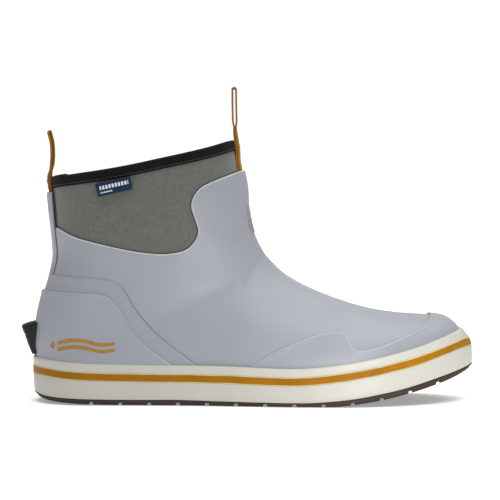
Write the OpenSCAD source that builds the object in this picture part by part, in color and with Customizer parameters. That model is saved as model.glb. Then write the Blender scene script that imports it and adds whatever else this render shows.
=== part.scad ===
// A right-foot deck boot: a sewn neoprene bootie inside a hand-laid rubber shell, on a cupped
// rubber sole with a striped sidewall. Toe along +X, the wearer's left along +Y, up along +Z.
// Every wall is an offset of one base surface, the outside of the neoprene.

/* [Walls] */
// Thickness of the neoprene bootie
neoprene_t = 3.0; // [2.5:0.1:3.5]
// Thickness of the air-mesh lining inside it
lining_t = 0.8; // [0.6:0.1:1.0]
// Thickness of the rubber shell
shell_t = 1.8; // [1.4:0.1:2.0]
// Thickness of the heel counter laid on the shell
counter_t = 1.0; // [0.8:0.1:1.2]
// Thickness of the heel cup laid on the counter
cup_t = 1.5; // [1.2:0.1:1.6]
// Thickness of the toe rand and the back stay
rand_t = 1.2; // [0.9:0.1:1.4]

/* [Sole] */
// Half width of the neoprene at the heel
heel_half = 36.2; // [35:0.1:38]
// Half width of the neoprene at the ball of the foot
ball_half = 49.7; // [47:0.1:51]
// Thickness of the sidewall outside the shell
foxing_t = 3.2; // [3.0:0.1:3.8]
// Height of the coloured stripe on the sidewall
stripe_h = 5.8; // [4:0.1:7]
// Thickness of the rubber outsole
outsole_t = 3.6; // [3.2:0.1:4.2]
// Distance between the outsole's drainage channels
channel_pitch = 19.5; // [16:0.5:24]
// Width of a drainage channel
channel_w = 2.2; // [1.5:0.1:3]
// Depth of a drainage channel
channel_d = 1.7; // [1:0.1:2]

/* [Collar and trims] */
// Height of the binding tape on the collar
binding_h = 7.4; // [6:0.1:9]
// Thickness of the binding tape
binding_t = 1.1; // [0.8:0.1:1.4]
// Width of the pull-loop webbing
webbing_w = 18; // [15:0.5:22]
// Thickness of one layer of that webbing
webbing_t = 1.2; // [1.0:0.05:1.4]
// Width of the side label
label_w = 24; // [18:1:30]
// Height of the side label
label_h = 8.8; // [7:0.2:11]
// Width of the kick tab at the heel
tab_w = 30; // [24:1:34]

/* [Hidden] */

gap = 0.06;            // air between bonded layers, so that no two solids share space
heel_x = 4.5;          // back of the neoprene at the heel
toe_x = 298;           // front of the neoprene at the toe
heel_round = 36;       // length of the round end of the heel, in plan
ball_x = 215;          // where the foot is widest
sole_out = shell_t + foxing_t;   // outside of the sidewall, as an offset of the base surface
tab_x = -8.6;          // rearmost point of the kick tab
boot_front = toe_x + sole_out;   // front of the sidewall
centre = [(tab_x + boot_front) / 2, -0.6, 0];   // moved to the origin

// Front line of the base surface, from above the collar down the shin and vamp to the toe.
front_line = [[136.3, 187], [140.8, 161], [144.6, 142], [147, 128], [149.3, 117.5], [152, 110],
  [155, 104], [158.5, 98.6], [162.5, 93.8], [167.5, 89], [174, 84], [182.5, 79], [193, 74],
  [206, 68.8], [221, 63.8], [237, 60], [254, 57.8], [270, 56.7], [281, 55.6], [287, 52.3],
  [291, 48], [294.3, 43.6], [296.6, 40]];
// Back line, from above the collar down the heel and along the sole to the toe.
back_line = [[12.2, 162], [13.8, 138], [14.7, 117], [15.8, 99], [13.3, 86], [8.6, 70],
  [5.2, 53], [4.9, 35], [12, 19], [38, 15.2], [72, 14.6], [106, 14], [140, 13],
  [174, 12.2], [205, 12.2], [231, 14.6], [252, 18.8], [270, 23.6], [280, 27], [286.5, 29.2],
  [290.5, 30.7], [294, 32.2], [296.6, 33.6]];
heel_turn = 7.6;       // place along those lines where the back line turns under the heel

// [along the foot, height] tables
sole_line = [[-8, 8.6], [-2, 5.6], [6, 3.2], [15, 1.8], [28, 0.9], [45, 0.3], [58, 0.05], [75, 0],
  [120, 0], [200, 0], [212, 0.5], [237, 4.1], [255, 8], [265, 10.4], [284, 15.9], [300, 22],
  [308, 25.5]];
outsole_line = [[-8, 8.9], [0, 6.9], [8, 5.5], [16, 4.8], [25, 4.4], [40, 4], [60, 3.7], [80, 3.7],
  [100, 3.8], [130, 3.2], [170, 2.9], [190, 3.1], [209, 4.3], [222, 5.9], [236, 8.4],
  [249, 10.9], [263, 14.4], [276, 18], [289, 21.5], [300, 24.7], [308, 27.2]];
foxing_line = [[-8, 31.5], [2, 30.7], [10, 29.9], [35, 28], [75, 27], [129, 26.6], [170, 25.4],
  [185, 25.6], [209, 28.1], [235, 32.5], [263, 39], [280, 44.2], [295, 48.4], [308, 49.5]];
collar_line = [[0, 150.3], [13, 152.1], [55, 158], [88, 164.7], [120, 172.1], [140, 178.3],
  [160, 184.8]];
width_gain = [[20, 1], [60, 0.985], [95, 1.03], [130, 1.09], [180, 1.15]];   // by height
centre_line = [[0, 0], [60, -0.5], [150, -3], [215, -0.7], [255, 3], [298, 9]];

// Outlines seen from the side, [x, z]
window_edge = [[145.4, 158.6], [137, 155.2], [128, 151.7], [117.4, 146.8], [112.1, 141.4],
  [109.7, 134.5], [111.2, 127.8], [113.6, 120.8], [114.4, 115.9], [112.1, 110], [106.8, 104.6],
  [99.9, 102.2], [88.2, 101.3], [70.6, 103.2], [50.6, 107.4], [30, 112.6], [16.8, 118.7]];
counter_edge = [[-5, 88.6], [16.5, 87.1], [34.6, 85.7], [53, 83.8], [60.1, 81.3], [63.4, 78.2],
  [67.3, 71.8], [71.1, 64.8], [79.8, 54.2], [88.7, 45.2], [97.7, 38], [106.7, 31.6], [114, 25.5]];
cup_edge = [[-5, 77.2], [16.5, 76], [33.7, 75], [46, 74.2], [52.1, 72.8], [56.8, 69.7],
  [60.5, 64.6], [64.9, 58], [68.6, 51], [75.5, 42.8], [83.9, 35.6], [91.7, 30], [98, 25.5]];
rand_edge = [[146, 24], [156.6, 31.4], [170, 38.8], [184, 44.9], [195, 48.4], [206.8, 50.2],
  [212.6, 48.4], [215.4, 43.9], [217.6, 39.6], [222.6, 37.6], [234, 39.5], [248.5, 44.6],
  [263.6, 51.3], [270, 56], [275, 64]];

// ---- smooth interpolation ----
function slope(tb, i) = let (a = max(i - 1, 0), b = min(i + 1, len(tb) - 1))
  (tb[b][1] - tb[a][1]) / (tb[b][0] - tb[a][0]);
function segment(x, tb, i = 0) = i >= len(tb) - 2 || x < tb[i + 1][0] ? i : segment(x, tb, i + 1);
function smooth_at(x, tb) = let (i = segment(x, tb), w = tb[i + 1][0] - tb[i][0],
    u = (x - tb[i][0]) / w, v = u * u * (3 - 2 * u))
  tb[i][1] * (1 - v) + tb[i + 1][1] * v
  + w * (slope(tb, i) * u * (1 - u) * (1 - u) - slope(tb, i + 1) * u * u * (1 - u));
function along(t, line) = let (n = len(line) - 1, i = min(max(floor(t), 0), n - 1), u = t - i,
    p0 = line[max(i - 1, 0)], p1 = line[i], p2 = line[i + 1], p3 = line[min(i + 2, n)])
  0.5 * (2 * p1 + (p2 - p0) * u + (2 * p0 - 5 * p1 + 4 * p2 - p3) * u * u
    + (3 * p1 - p0 - 3 * p2 + p3) * u * u * u);
function ease(u) = let (v = min(max(u, 0), 1)) v * v * (3 - 2 * v);
function curve(points, steps = 2) = [for (i = [0 : (len(points) - 1) * steps])
  along(i / steps, points)];

// ---- the base surface ----
function half_width(x) = x <= heel_x ? 0 : x >= toe_x ? 0
  : x < heel_x + heel_round ? heel_half * sqrt(1 - pow((heel_x + heel_round - x) / heel_round, 2))
  : x < ball_x ? heel_half + (ball_half - heel_half) * ease((x - 90) / (ball_x - 90))
  : ball_half * sqrt(1 - pow((x - ball_x) / (toe_x - ball_x), 2));
fullness = [[0, 2.1], [4, 2.0], [9, 1.9], [14, 2.2], [21, 2.5]];      // roundness of the top, by ring
widest = [[0, 0.5], [4, 0.45], [9, 0.3], [14, 0.3], [21, 0.4]];       // height of the widest level
sole_corner = 9;                                                      // rounding under the foot
function base_point(t, angle) = let (f = along(t, front_line), b = along(t, back_line),
    l = norm(f - b), a = l * (1 + cos(angle)) / 2, p = b + (f - b) * a / l,
    heel = ease((heel_turn + 0.7 - t) / 1.4),
    c = l * smooth_at(t, widest), q = max(a - c, 0) / (l - c), n = smooth_at(t, fullness),
    top = pow(max(1 - pow(q, n), 0), 1 / n),
    r = min(sole_corner, 0.4 * l) * (1 - heel),
    under = a < r ? pow(max(1 - pow((r - a) / r, 3), 0), 1 / 3) : 1,
    w = half_width(p[0] - (b[0] - heel_x) * heel) * smooth_at(p[1], width_gain) * top * under)
  [p[0], smooth_at(p[0], centre_line) - sign(round(sin(angle) * 1e6)) * w, p[1]];

ring_points = 32;
toe_ring = len(front_line) - 1;
rings = [0, 1, 2, 3, 4, 5, 5.8, 6.5, 7.1, 7.6, 8.1, 8.7, 9.4, 10.2, 11, 12, 13, 14, 15, 16, 17,
  17.9, 18.6, 19.2, 19.8, 20.4, 21, toe_ring];
function outward(t, angle) = let (t0 = max(t - 0.1, 0), t1 = min(t + 0.1, toe_ring),
    d = cross(base_point(t, angle + 2) - base_point(t, angle - 2),
      base_point(t1, angle) - base_point(t0, angle)))
  d / norm(d);
angles = [for (j = [0 : ring_points - 1]) 360 * j / ring_points];
grid = [for (t = rings) for (a = angles) [base_point(t, a), outward(t, a)]];
function grid_faces(n, m) = concat(
  [[for (j = [0 : n - 1]) j]], [[for (j = [n - 1 : -1 : 0]) (m - 1) * n + j]],
  [for (i = [0 : m - 2]) for (j = [0 : n - 1]) let (k = (j + 1) % n)
    each [[i * n + j, (i + 1) * n + j, (i + 1) * n + k], [i * n + j, (i + 1) * n + k, i * n + k]]]);

// The closed form of the base surface, moved out by d (in, for a negative d).
module form(d) {
  m = len(rings) - (d < 0 ? 1 : 0);
  polyhedron([for (i = [0 : m * ring_points - 1]) grid[i][0] + d * grid[i][1]],
    grid_faces(ring_points, m), convexity = 6);
}

// ---- the outline of the sole ----
stations = concat([for (a = [0 : 15 : 75]) heel_x + heel_round * (1 - cos(a))],
  [heel_x + heel_round, 62, 84, 106, 128, 150, 172, 194],
  [for (a = [0 : 9 : 90]) ball_x + (toe_x - ball_x) * sin(a)]);
plan = let (n = len(stations), c = function (x) smooth_at(x, centre_line)) concat(
  [for (i = [0 : n - 1]) [stations[i], c(stations[i]) - half_width(stations[i])]],
  [for (i = [n - 2 : -1 : 1]) [stations[i], c(stations[i]) + half_width(stations[i])]]);
function plan_normal(i) = let (n = len(plan), e = plan[(i + 1) % n] - plan[(i + n - 1) % n])
  [e[1], -e[0]] / norm(e);
function outline(d) = [for (i = [0 : len(plan) - 1]) plan[i] + d * plan_normal(i)];
// How far the sidewall leans in at height z, which is only at the toe.
toe_lean = [[255, 0], [273, 0.6], [287.5, 1.9], [293, 3], [298, 4.4], [302, 6.1], [304, 7.1]];
function lean(x, z) = smooth_at(x, toe_lean) * pow(max(z - 34, 0) / 14.4, 2);

// A closed band round the sole: section(x) lists the corners [offset, height] of its section.
module band(section) {
  n = len(plan);
  rows = [for (i = [0 : n - 1]) let (v = plan_normal(i))
    [for (q = section(plan[i][0] + sole_out * v[0]))
      [plan[i][0] + (q[0] - lean(plan[i][0] + sole_out * v[0], q[1])) * v[0],
       plan[i][1] + (q[0] - lean(plan[i][0] + sole_out * v[0], q[1])) * v[1], q[1]]]];
  k = len(rows[0]);
  polyhedron([for (r = rows) for (p = r) p], [for (i = [0 : n - 1]) for (j = [0 : k - 1])
    let (u = (i + 1) % n, w = (j + 1) % k)
    each [[i * k + j, i * k + w, u * k + w], [i * k + j, u * k + w, u * k + j]]], convexity = 6);
}

// ---- building blocks ----
// Works a boolean out on faceted meshes.
module faceted() {
  resize([0, 0, 0]) children();
}

// A slab right across the boot with the given outline, seen from the side.
module across(points) {
  rotate([90, 0, 0]) linear_extrude(160, center = true) polygon(points);
}

// A slab along the boot with the given outline [y, z], between two places along the foot.
module lengthwise(points, x0, x1) {
  translate([x0, 0, 0]) rotate([90, 0, 90]) linear_extrude(x1 - x0) polygon(points);
}

function row(line, rise = 0, x0 = -8, x1 = 308) =
  [for (i = [0 : 30]) let (x = x0 + (x1 - x0) * i / 30) [x, smooth_at(x, line) + rise]];
function backwards(list) = [for (i = [len(list) - 1 : -1 : 0]) list[i]];

// Everything between two lines, each [table, rise], seen from the side.
module between(low, high, x0 = -8, x1 = 308) {
  across(concat(row(low[0], low[1], x0, x1), backwards(row(high[0], high[1], x0, x1))));
}

// A wall that lies between two offsets of the base surface.
module wall(inner, outer) {
  difference() {
    form(outer);
    form(inner);
  }
}

counter_in = shell_t + gap;
counter_out = counter_in + counter_t;
cup_out = counter_out + gap + cup_t;
rand_out = counter_in + rand_t;
lining_in = neoprene_t + gap + lining_t;          // inside of the lining, as a depth
binding_drop = binding_h - binding_t;
board_t = 1.6;
footbed_t = 4.6;
cover_t = 0.8;
// Levels inside the boot: the underside of the insole board and of the footbed on top of it.
floor_line = [for (i = [8 : toe_ring]) back_line[i] + [0, lining_in + 0.1]];
footbed_line = [for (p = floor_line) p + [0, board_t + gap]];
footbed_x = [16, 272];

// ---- sole ----
module outsole() {
  color([0.23, 0.2, 0.18]) faceted() difference() {
    union() {
      intersection() {
        linear_extrude(40) polygon(outline(sole_out));
        between([sole_line, 1.3], [outsole_line, outsole_t - 3.6]);
      }
      intersection() {
        linear_extrude(40) polygon(outline(sole_out - 1.8));
        between([sole_line, 0], [outsole_line, outsole_t - 4]);
      }
    }
    for (x = [42 : channel_pitch : 285]) translate([x, 0, smooth_at(x, sole_line) - 3])
      rotate([0, -atan((smooth_at(x + 2, sole_line) - smooth_at(x - 2, sole_line)) / 4), 0])
      translate([-channel_w / 2, -80, 0]) cube([channel_w, 160, 3 + channel_d]);
  }
}

module midsole() {
  color([0.35, 0.35, 0.36]) faceted() difference() {
    intersection() {
      linear_extrude(60) polygon(outline(shell_t));
      between([outsole_line, outsole_t - 3.6 + gap], [foxing_line, -8]);
    }
    form(shell_t + gap);
    band(function (x) room_section(x));
    translate([81.5 - 0.4, -12.9, 7.6]) cube([97.8, 21.8, 20]);
    translate([19.6, -22.4, 7.4]) cube([44.8, 44.8, 20]);
  }
}

module shank() {
  color([0.6, 0.61, 0.63]) translate([81.5, -12.5, 8]) cube([97, 21, 1.6]);
}

module heel_crash_pad() {
  color([0.75, 0.7, 0.55]) translate([20, -22, 7.8]) cube([44, 44, 2.8]);
}

stripe_high = [for (p = foxing_line) p - [0, 5.8]];
function foxing_section(x) = let (z0 = smooth_at(x, outsole_line) + outsole_t - 3.6 + gap,
    z2 = smooth_at(x, stripe_high), z3 = smooth_at(x, foxing_line))
  [[shell_t + gap, z0], [sole_out, z0], [sole_out, z2 - stripe_h - gap],
   [sole_out - 1, z2 - stripe_h - gap], [sole_out - 1, z2 + gap], [sole_out, z2 + gap],
   [sole_out, z3 - 0.8], [sole_out - 0.8, z3], [shell_t - 1, z3], [shell_t - 1, z3 - 10]];
function stripe_section(x) = let (z = smooth_at(x, stripe_high))
  [[sole_out - 0.7, z - stripe_h], [sole_out + 0.2, z - stripe_h],
   [sole_out + 0.2, z], [sole_out - 0.7, z]];

// The room that the sidewall takes, with the air round it.
function room_section(x) = let (z0 = smooth_at(x, outsole_line) + outsole_t - 3.6,
    z3 = smooth_at(x, foxing_line) + gap)
  [[shell_t, z0 - 3], [sole_out + 3, z0 - 3], [sole_out + 3, z3], [shell_t - 1 - gap, z3],
   [shell_t - 1 - gap, z3 - 10 - 2 * gap]];
// A ring just below the sidewall's top edge, which trims the lower end of an overlay.
function trim_section(x) = let (z = smooth_at(x, foxing_line) + gap)
  [[-12, z - 14], [sole_out + 3, z - 14], [sole_out + 3, z], [-12, z]];

// An overlay on the shell, with the given outline from the side, down to the sidewall.
module overlay(inner, outer, edge) {
  difference() {
    intersection() {
      wall(inner, outer);
      across(edge);
      between([foxing_line, -10], [[[-8, 120], [308, 120]], 0]);
    }
    band(function (x) trim_section(x));
  }
}

module foxing() {
  color([0.87, 0.87, 0.83]) faceted() difference() {
    band(function (x) foxing_section(x));
    form(shell_t + gap);
  }
}

module foxing_stripe() {
  color([0.72, 0.5, 0.17]) band(function (x) stripe_section(x));
}

// ---- upper ----
module neoprene_bootie() {
  color([0.4, 0.4, 0.38]) faceted() difference() {
    wall(-neoprene_t, 0);
    across(concat(row(collar_line, 0, -8, 170), [[170, 260], [-8, 260]]));
  }
}

module airmesh_lining() {
  color([0.2, 0.2, 0.2]) faceted() difference() {
    wall(-lining_in, -neoprene_t - gap);
    across(concat(row(collar_line, 0, -8, 170), [[170, 260], [-8, 260]]));
  }
}

tail_half = webbing_w / 2;
centre_y_front = smooth_at(138, centre_line);
// The patch of a wall over a loop's sewn end, at the front or at the back.
module over_tail(front, z_low, side) {
  if (front) translate([120, centre_y_front - tail_half - side, z_low])
    cube([60, webbing_w + 2 * side, 60]);
  else translate([-20, -tail_half - side, z_low]) cube([50, webbing_w + 2 * side, 60]);
}

module rubber_shell() {
  shell_top = concat([[-12, 141], [18.5, 141], [18.5, 119]],
    backwards(curve(window_edge)), [[330, 158.6], [330, -20], [-12, -20]]);
  color([0.66, 0.67, 0.7]) faceted() intersection() {
    difference() {
      union() {
        form(shell_t);
        intersection() {
          form(shell_t + webbing_t + gap);
          union() {
            over_tail(true, 141, 2);
            over_tail(false, 131, 2);
          }
        }
      }
      form(gap);
      intersection() {
        form(webbing_t + 2 * gap);
        union() {
          over_tail(true, 142.5, 0.3);
          over_tail(false, 132.5, 0.3);
        }
      }
    }
    across(shell_top);
    union() {
      translate([30, -100, -10]) cube([300, 200, 260]);
      translate([-20, -100, -10]) cube([60, 200, 131]);
      translate([-20, -12, -10]) cube([60, 24, 260]);
    }
  }
}

module heel_counter() {
  color([0.64, 0.65, 0.68]) faceted() overlay(counter_in, counter_out,
    concat(curve(counter_edge), [[114, 10], [-5, 10]]));
}

module heel_cup() {
  color([0.62, 0.63, 0.66]) faceted() overlay(counter_out + gap, cup_out,
    concat(curve(cup_edge), [[98, 10], [-5, 10]]));
}

module back_stay() {
  color([0.63, 0.64, 0.67]) faceted() intersection() {
    difference() {
      union() {
        form(rand_out);
        intersection() {
          form(rand_out + webbing_t + gap);
          over_tail(false, 130, 8);
        }
      }
      form(counter_in);
      intersection() {
        form(counter_in + webbing_t + gap);
        over_tail(false, 131 - gap, 2 + gap);
      }
    }
    lengthwise([[-15, 89.5], [15, 89.5], [16, 102], [16, 119], [13.5, 143], [-13.5, 143],
      [-16, 119], [-16, 102]], -10, 40);
  }
}

module toe_rand() {
  color([0.64, 0.65, 0.68]) faceted() overlay(counter_in, rand_out,
    concat(curve(rand_edge), [[282, 75], [330, 75], [330, 10], [146, 10]]));
}

module shin_badge() {
  color([0.5, 0.5, 0.52]) faceted() intersection() {
    wall(counter_in, counter_in + 0.8);
    lengthwise([[-10, 115], [10, 115], [10, 137], [-10, 137]], 120, 180);
  }
}

// A plain two-wave mark on the outer side of the heel.
module heel_emblem() {
  color([0.7, 0.48, 0.18]) faceted() intersection() {
    wall(cup_out + gap, cup_out + gap + 0.4);
    translate([0, -80, 0]) cube([200, 80, 80]);
    for (s = [0, 4.4]) across([[19, 35.6 + s], [29, 37.8 + s], [38, 37.2 + s], [48, 35 + s],
      [58, 35.8 + s], [58, 37.8 + s], [48, 37.2 + s], [38, 39.6 + s], [29, 40.2 + s],
      [19, 38 + s]]);
  }
}

module kick_tab() {
  color([0.12, 0.12, 0.12]) faceted() difference() {
    intersection() {
      across([[10, 54.2], [-2, 53.8], [-7.6, 51.8], [-8.4, 50.8], [-8.2, 49.4], [-1.4, 32],
        [10, 32]]);
      translate([34, 0, 0]) cylinder(h = 80, r = 42.6, $fn = 96);
      lengthwise([[-tab_w / 2, 54.5], [tab_w / 2, 54.5], [tab_w / 2 - 3, 31.5],
        [3 - tab_w / 2, 31.5]], -20, 30);
    }
    form(cup_out + gap);
  }
}

module collar_binding() {
  color([0.13, 0.13, 0.13]) faceted() difference() {
    intersection() {
      form(binding_t);
      between([collar_line, -binding_drop], [collar_line, binding_t], -8, 170);
    }
    form(-lining_in - 1);
    intersection() {
      wall(-lining_in - gap, gap);
      between([[[-8, 0], [170, 0]], 0], [collar_line, gap], -8, 170);
    }
  }
}

// ---- pull loops ----
slot = 1.4;            // gap between the two layers of a loop
front_path = [[138.6, 186.4], [138.4, 194], [138.2, 204], [138.1, 213.3]];
rear_path = [[11.8, 158.6], [12.8, 164], [13.1, 169], [12.7, 176], [10.8, 184.4]];
loop_t = 2 * webbing_t + slot;

// A ribbon of even thickness along a path, with round ends.
module ribbon(path, t) {
  n = len(path) - 1;
  side = [for (i = [0 : n]) let (e = path[min(i + 1, n)] - path[max(i - 1, 0)])
    [e[1], -e[0]] / norm(e) * t / 2];
  polygon(concat([for (i = [0 : n]) path[i] + side[i]], [for (i = [n : -1 : 0]) path[i] - side[i]]));
  for (p = [path[0], path[n]]) translate(p) circle(d = t, $fn = 16);
}

module loop(path) {
  fine = curve(path, 3);
  inner = [for (i = [2 : len(fine) - 1]) fine[i]];
  faceted() rotate([90, 0, 0]) linear_extrude(webbing_w, center = true) difference() {
    ribbon(fine, loop_t);
    ribbon(inner, slot);
  }
}

module front_loop() {
  color([0.7, 0.47, 0.12]) translate([0, centre_y_front, 0]) loop(front_path);
}

module rear_loop() {
  color([0.7, 0.47, 0.12]) loop(rear_path);
}

// The strip that a loop is sewn to, from under the trim below it up over the binding.
module strip(y, x0, x1, z_low, z_step, z_top) {
  faceted() intersection() {
    union() {
      intersection() {
        wall(gap, gap + webbing_t);
        translate([x0, -40, z_low]) cube([x1 - x0, 80, z_step - z_low]);
      }
      intersection() {
        wall(gap, binding_t + gap + webbing_t);
        translate([x0, -40, z_step - 1.2]) cube([x1 - x0, 80, 1.2]);
      }
      intersection() {
        wall(binding_t + gap, binding_t + gap + webbing_t);
        translate([x0, -40, z_step - 1.2]) cube([x1 - x0, 80, z_top - z_step + 1.2]);
      }
    }
    translate([x0, y - webbing_w / 2, z_low]) cube([x1 - x0, webbing_w, z_top - z_low]);
  }
}

front_step = smooth_at(139, collar_line) - binding_drop - 0.6;
rear_step = smooth_at(10, collar_line) - binding_drop - 0.8;
module front_loop_base() {
  color([0.62, 0.42, 0.12]) strip(centre_y_front, 120, 160, 143, front_step, 183.6);
}

module rear_loop_base() {
  color([0.62, 0.42, 0.12]) strip(0, 0, 30, 133, rear_step, 156);
}

module loop_bartacks() {
  color([0.75, 0.55, 0.2]) faceted() for (z = [174, 150]) intersection() {
    wall(binding_t + gap + webbing_t + gap, binding_t + webbing_t + 0.5);
    translate([z > 160 ? 130 : 0, (z > 160 ? centre_y_front : 0) - 7.5, z]) cube([30, 15, 2]);
  }
}

label_pivot = [57, -44.1, 151];
label_tilt = 12.7;
module side_label() {
  color([0.16, 0.26, 0.38]) translate(label_pivot) rotate([0, -label_tilt, 0]) union() {
    translate([-label_w / 2, -0.5, -label_h]) cube([label_w, 1, label_h]);
    rotate([0, 90, 0]) cylinder(h = label_w, r = 0.5, center = true, $fn = 12);
  }
}

// ---- inside ----
module insole_board() {
  color([0.75, 0.68, 0.5]) faceted() intersection() {
    form(-lining_in - gap);
    between([floor_line, -8], [floor_line, board_t], 18, 278);
  }
}

module footbed() {
  color([0.22, 0.24, 0.26]) faceted() intersection() {
    form(-lining_in - 1.6);
    between([footbed_line, 0], [footbed_line, footbed_t], footbed_x[0], footbed_x[1]);
  }
}

module footbed_cover() {
  color([0.3, 0.3, 0.32]) faceted() intersection() {
    form(-lining_in - 2.2);
    between([footbed_line, footbed_t + gap], [footbed_line, footbed_t + gap + cover_t],
      footbed_x[0] + 1, footbed_x[1] - 1);
  }
}

// ---- assembly, moved so that the origin is under the middle of the boot ----
module place() {
  translate(-centre) children();
}

place() outsole();
place() midsole();
place() shank();
place() heel_crash_pad();
place() insole_board();
place() foxing();
place() foxing_stripe();
place() neoprene_bootie();
place() airmesh_lining();
place() rubber_shell();
place() heel_counter();
place() heel_cup();
place() back_stay();
place() toe_rand();
place() shin_badge();
place() heel_emblem();
place() kick_tab();
place() collar_binding();
place() front_loop_base();
place() front_loop();
place() rear_loop_base();
place() rear_loop();
place() loop_bartacks();
place() side_label();
place() footbed();
place() footbed_cover();
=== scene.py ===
"""Looks for the deck boot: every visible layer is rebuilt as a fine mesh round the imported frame."""
import bpy
import math
import numpy as np
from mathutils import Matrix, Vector


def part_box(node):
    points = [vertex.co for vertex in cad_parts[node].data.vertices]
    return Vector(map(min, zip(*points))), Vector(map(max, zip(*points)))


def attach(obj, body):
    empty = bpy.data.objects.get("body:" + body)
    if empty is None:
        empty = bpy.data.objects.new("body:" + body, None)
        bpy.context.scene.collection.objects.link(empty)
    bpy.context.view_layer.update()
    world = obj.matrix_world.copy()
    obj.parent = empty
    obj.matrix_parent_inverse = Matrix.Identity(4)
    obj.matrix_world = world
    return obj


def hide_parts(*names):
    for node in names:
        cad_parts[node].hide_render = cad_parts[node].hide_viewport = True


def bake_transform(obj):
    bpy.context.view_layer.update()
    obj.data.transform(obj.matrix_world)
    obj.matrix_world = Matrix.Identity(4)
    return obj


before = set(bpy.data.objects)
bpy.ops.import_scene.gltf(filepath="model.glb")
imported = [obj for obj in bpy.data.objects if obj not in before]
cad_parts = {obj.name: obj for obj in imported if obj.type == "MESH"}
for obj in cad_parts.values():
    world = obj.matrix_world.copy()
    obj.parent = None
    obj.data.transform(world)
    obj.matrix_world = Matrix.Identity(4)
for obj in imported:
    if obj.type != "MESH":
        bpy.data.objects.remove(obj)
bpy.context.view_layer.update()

# The boot's own millimetres: the shank is a plain block whose lowest corner is known there.
ORIGIN = np.array(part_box("shank")[0]) * 1000 - np.array([81.5, -12.5, 8.0])


def row(p):
    """Boot millimetres to metres in the row frame."""
    return (np.asarray(p, float) + ORIGIN) / 1000


# ------------------------------------------------------------------ camera
camera = bpy.data.objects.new("camera", bpy.data.cameras.new("camera"))
bpy.context.scene.collection.objects.link(camera)
bpy.context.scene.camera = camera
camera.data.sensor_width = 36
camera.data.lens = 156.75
camera.data.clip_end = 50
eye, aim = Vector(row([148.9, -1500, 150])), Vector(row([148.9, 0, 103]))
camera.location = eye
camera.rotation_mode = "QUATERNION"
camera.rotation_quaternion = (aim - eye).to_track_quat("-Z", "Y")

# ------------------------------------------------------------------ sizes, as in the CAD source
NEOPRENE, LINING, GAP = 3.0, 0.8, 0.06
SHELL, COUNTER, CUP, RAND, FOXING = 1.8, 1.0, 1.5, 1.2, 3.2
SOLE_OUT = SHELL + FOXING
HEEL_HALF, BALL_HALF, HEEL_X, TOE_X, HEEL_ROUND, BALL_X = 36.2, 49.7, 4.5, 298.0, 36.0, 215.0
BINDING_H, BINDING = 7.4, 1.1
WEB_W, WEB = 18.0, 1.1
STRIPE_H, STRIPE_DOWN = 5.8, 5.8
TOE_RING, HEEL_TURN = 22, 7.6
LINING_END = 291.5     # the lining stops here, before its toe folds over itself
OVERLAY_FOOT = -2.5    # how far the overlays reach down behind the sidewall

FRONT = np.array([[136.3, 187], [140.8, 161], [144.6, 142], [147, 128], [149.3, 117.5], [152, 110],
    [155, 104], [158.5, 98.6], [162.5, 93.8], [167.5, 89], [174, 84], [182.5, 79], [193, 74],
    [206, 68.8], [221, 63.8], [237, 60], [254, 57.8], [270, 56.7], [281, 55.6], [287, 52.3],
    [291, 48], [294.3, 43.6], [296.6, 40]])
BACK = np.array([[12.2, 162], [13.8, 138], [14.7, 117], [15.8, 99], [13.3, 86], [8.6, 70],
    [5.2, 53], [4.9, 35], [12, 19], [38, 15.2], [72, 14.6], [106, 14], [140, 13],
    [174, 12.2], [205, 12.2], [231, 14.6], [252, 18.8], [270, 23.6], [280, 27], [286.5, 29.2],
    [290.5, 30.7], [294, 32.2], [296.6, 33.6]])
SOLE_LINE = [[-8, 8.6], [-2, 5.6], [6, 3.2], [15, 1.8], [28, 0.9], [45, 0.3], [58, 0.05],
    [75, 0], [120, 0], [200, 0], [212, 0.5], [237, 4.1], [255, 8], [265, 10.4], [284, 15.9],
    [300, 22], [308, 25.5]]
OUTSOLE_LINE = [[-8, 8.9], [0, 6.9], [8, 5.5], [16, 4.8], [25, 4.4], [40, 4], [60, 3.7], [80, 3.7],
    [100, 3.8], [130, 3.2], [170, 2.7], [190, 2.9], [209, 4.3], [222, 5.9], [236, 8.4],
    [249, 10.9], [263, 14.4], [276, 18], [289, 21.5], [300, 24.7], [308, 27.2]]
FOXING_LINE = [[-8, 31.5], [2, 30.7], [10, 29.9], [35, 28], [75, 27], [129, 26.6], [170, 25.4],
    [185, 25.6], [209, 28.1], [235, 32.5], [263, 39], [280, 44.2], [295, 48.4], [308, 49.5]]
COLLAR_LINE = [[0, 150.3], [13, 152.1], [55, 158], [88, 164.7], [120, 172.1], [140, 178.3],
    [160, 184.8]]
WIDTH_GAIN = [[20, 1], [60, 0.985], [95, 1.03], [130, 1.09], [180, 1.15]]
CENTRE_LINE = [[0, 0], [60, -0.5], [150, -3], [215, -0.7], [255, 3], [298, 9]]
FULLNESS = [[0, 2.1], [4, 2.0], [9, 1.9], [14, 2.2], [21, 2.5]]
WIDEST = [[0, 0.5], [4, 0.45], [9, 0.3], [14, 0.3], [21, 0.4]]

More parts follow.
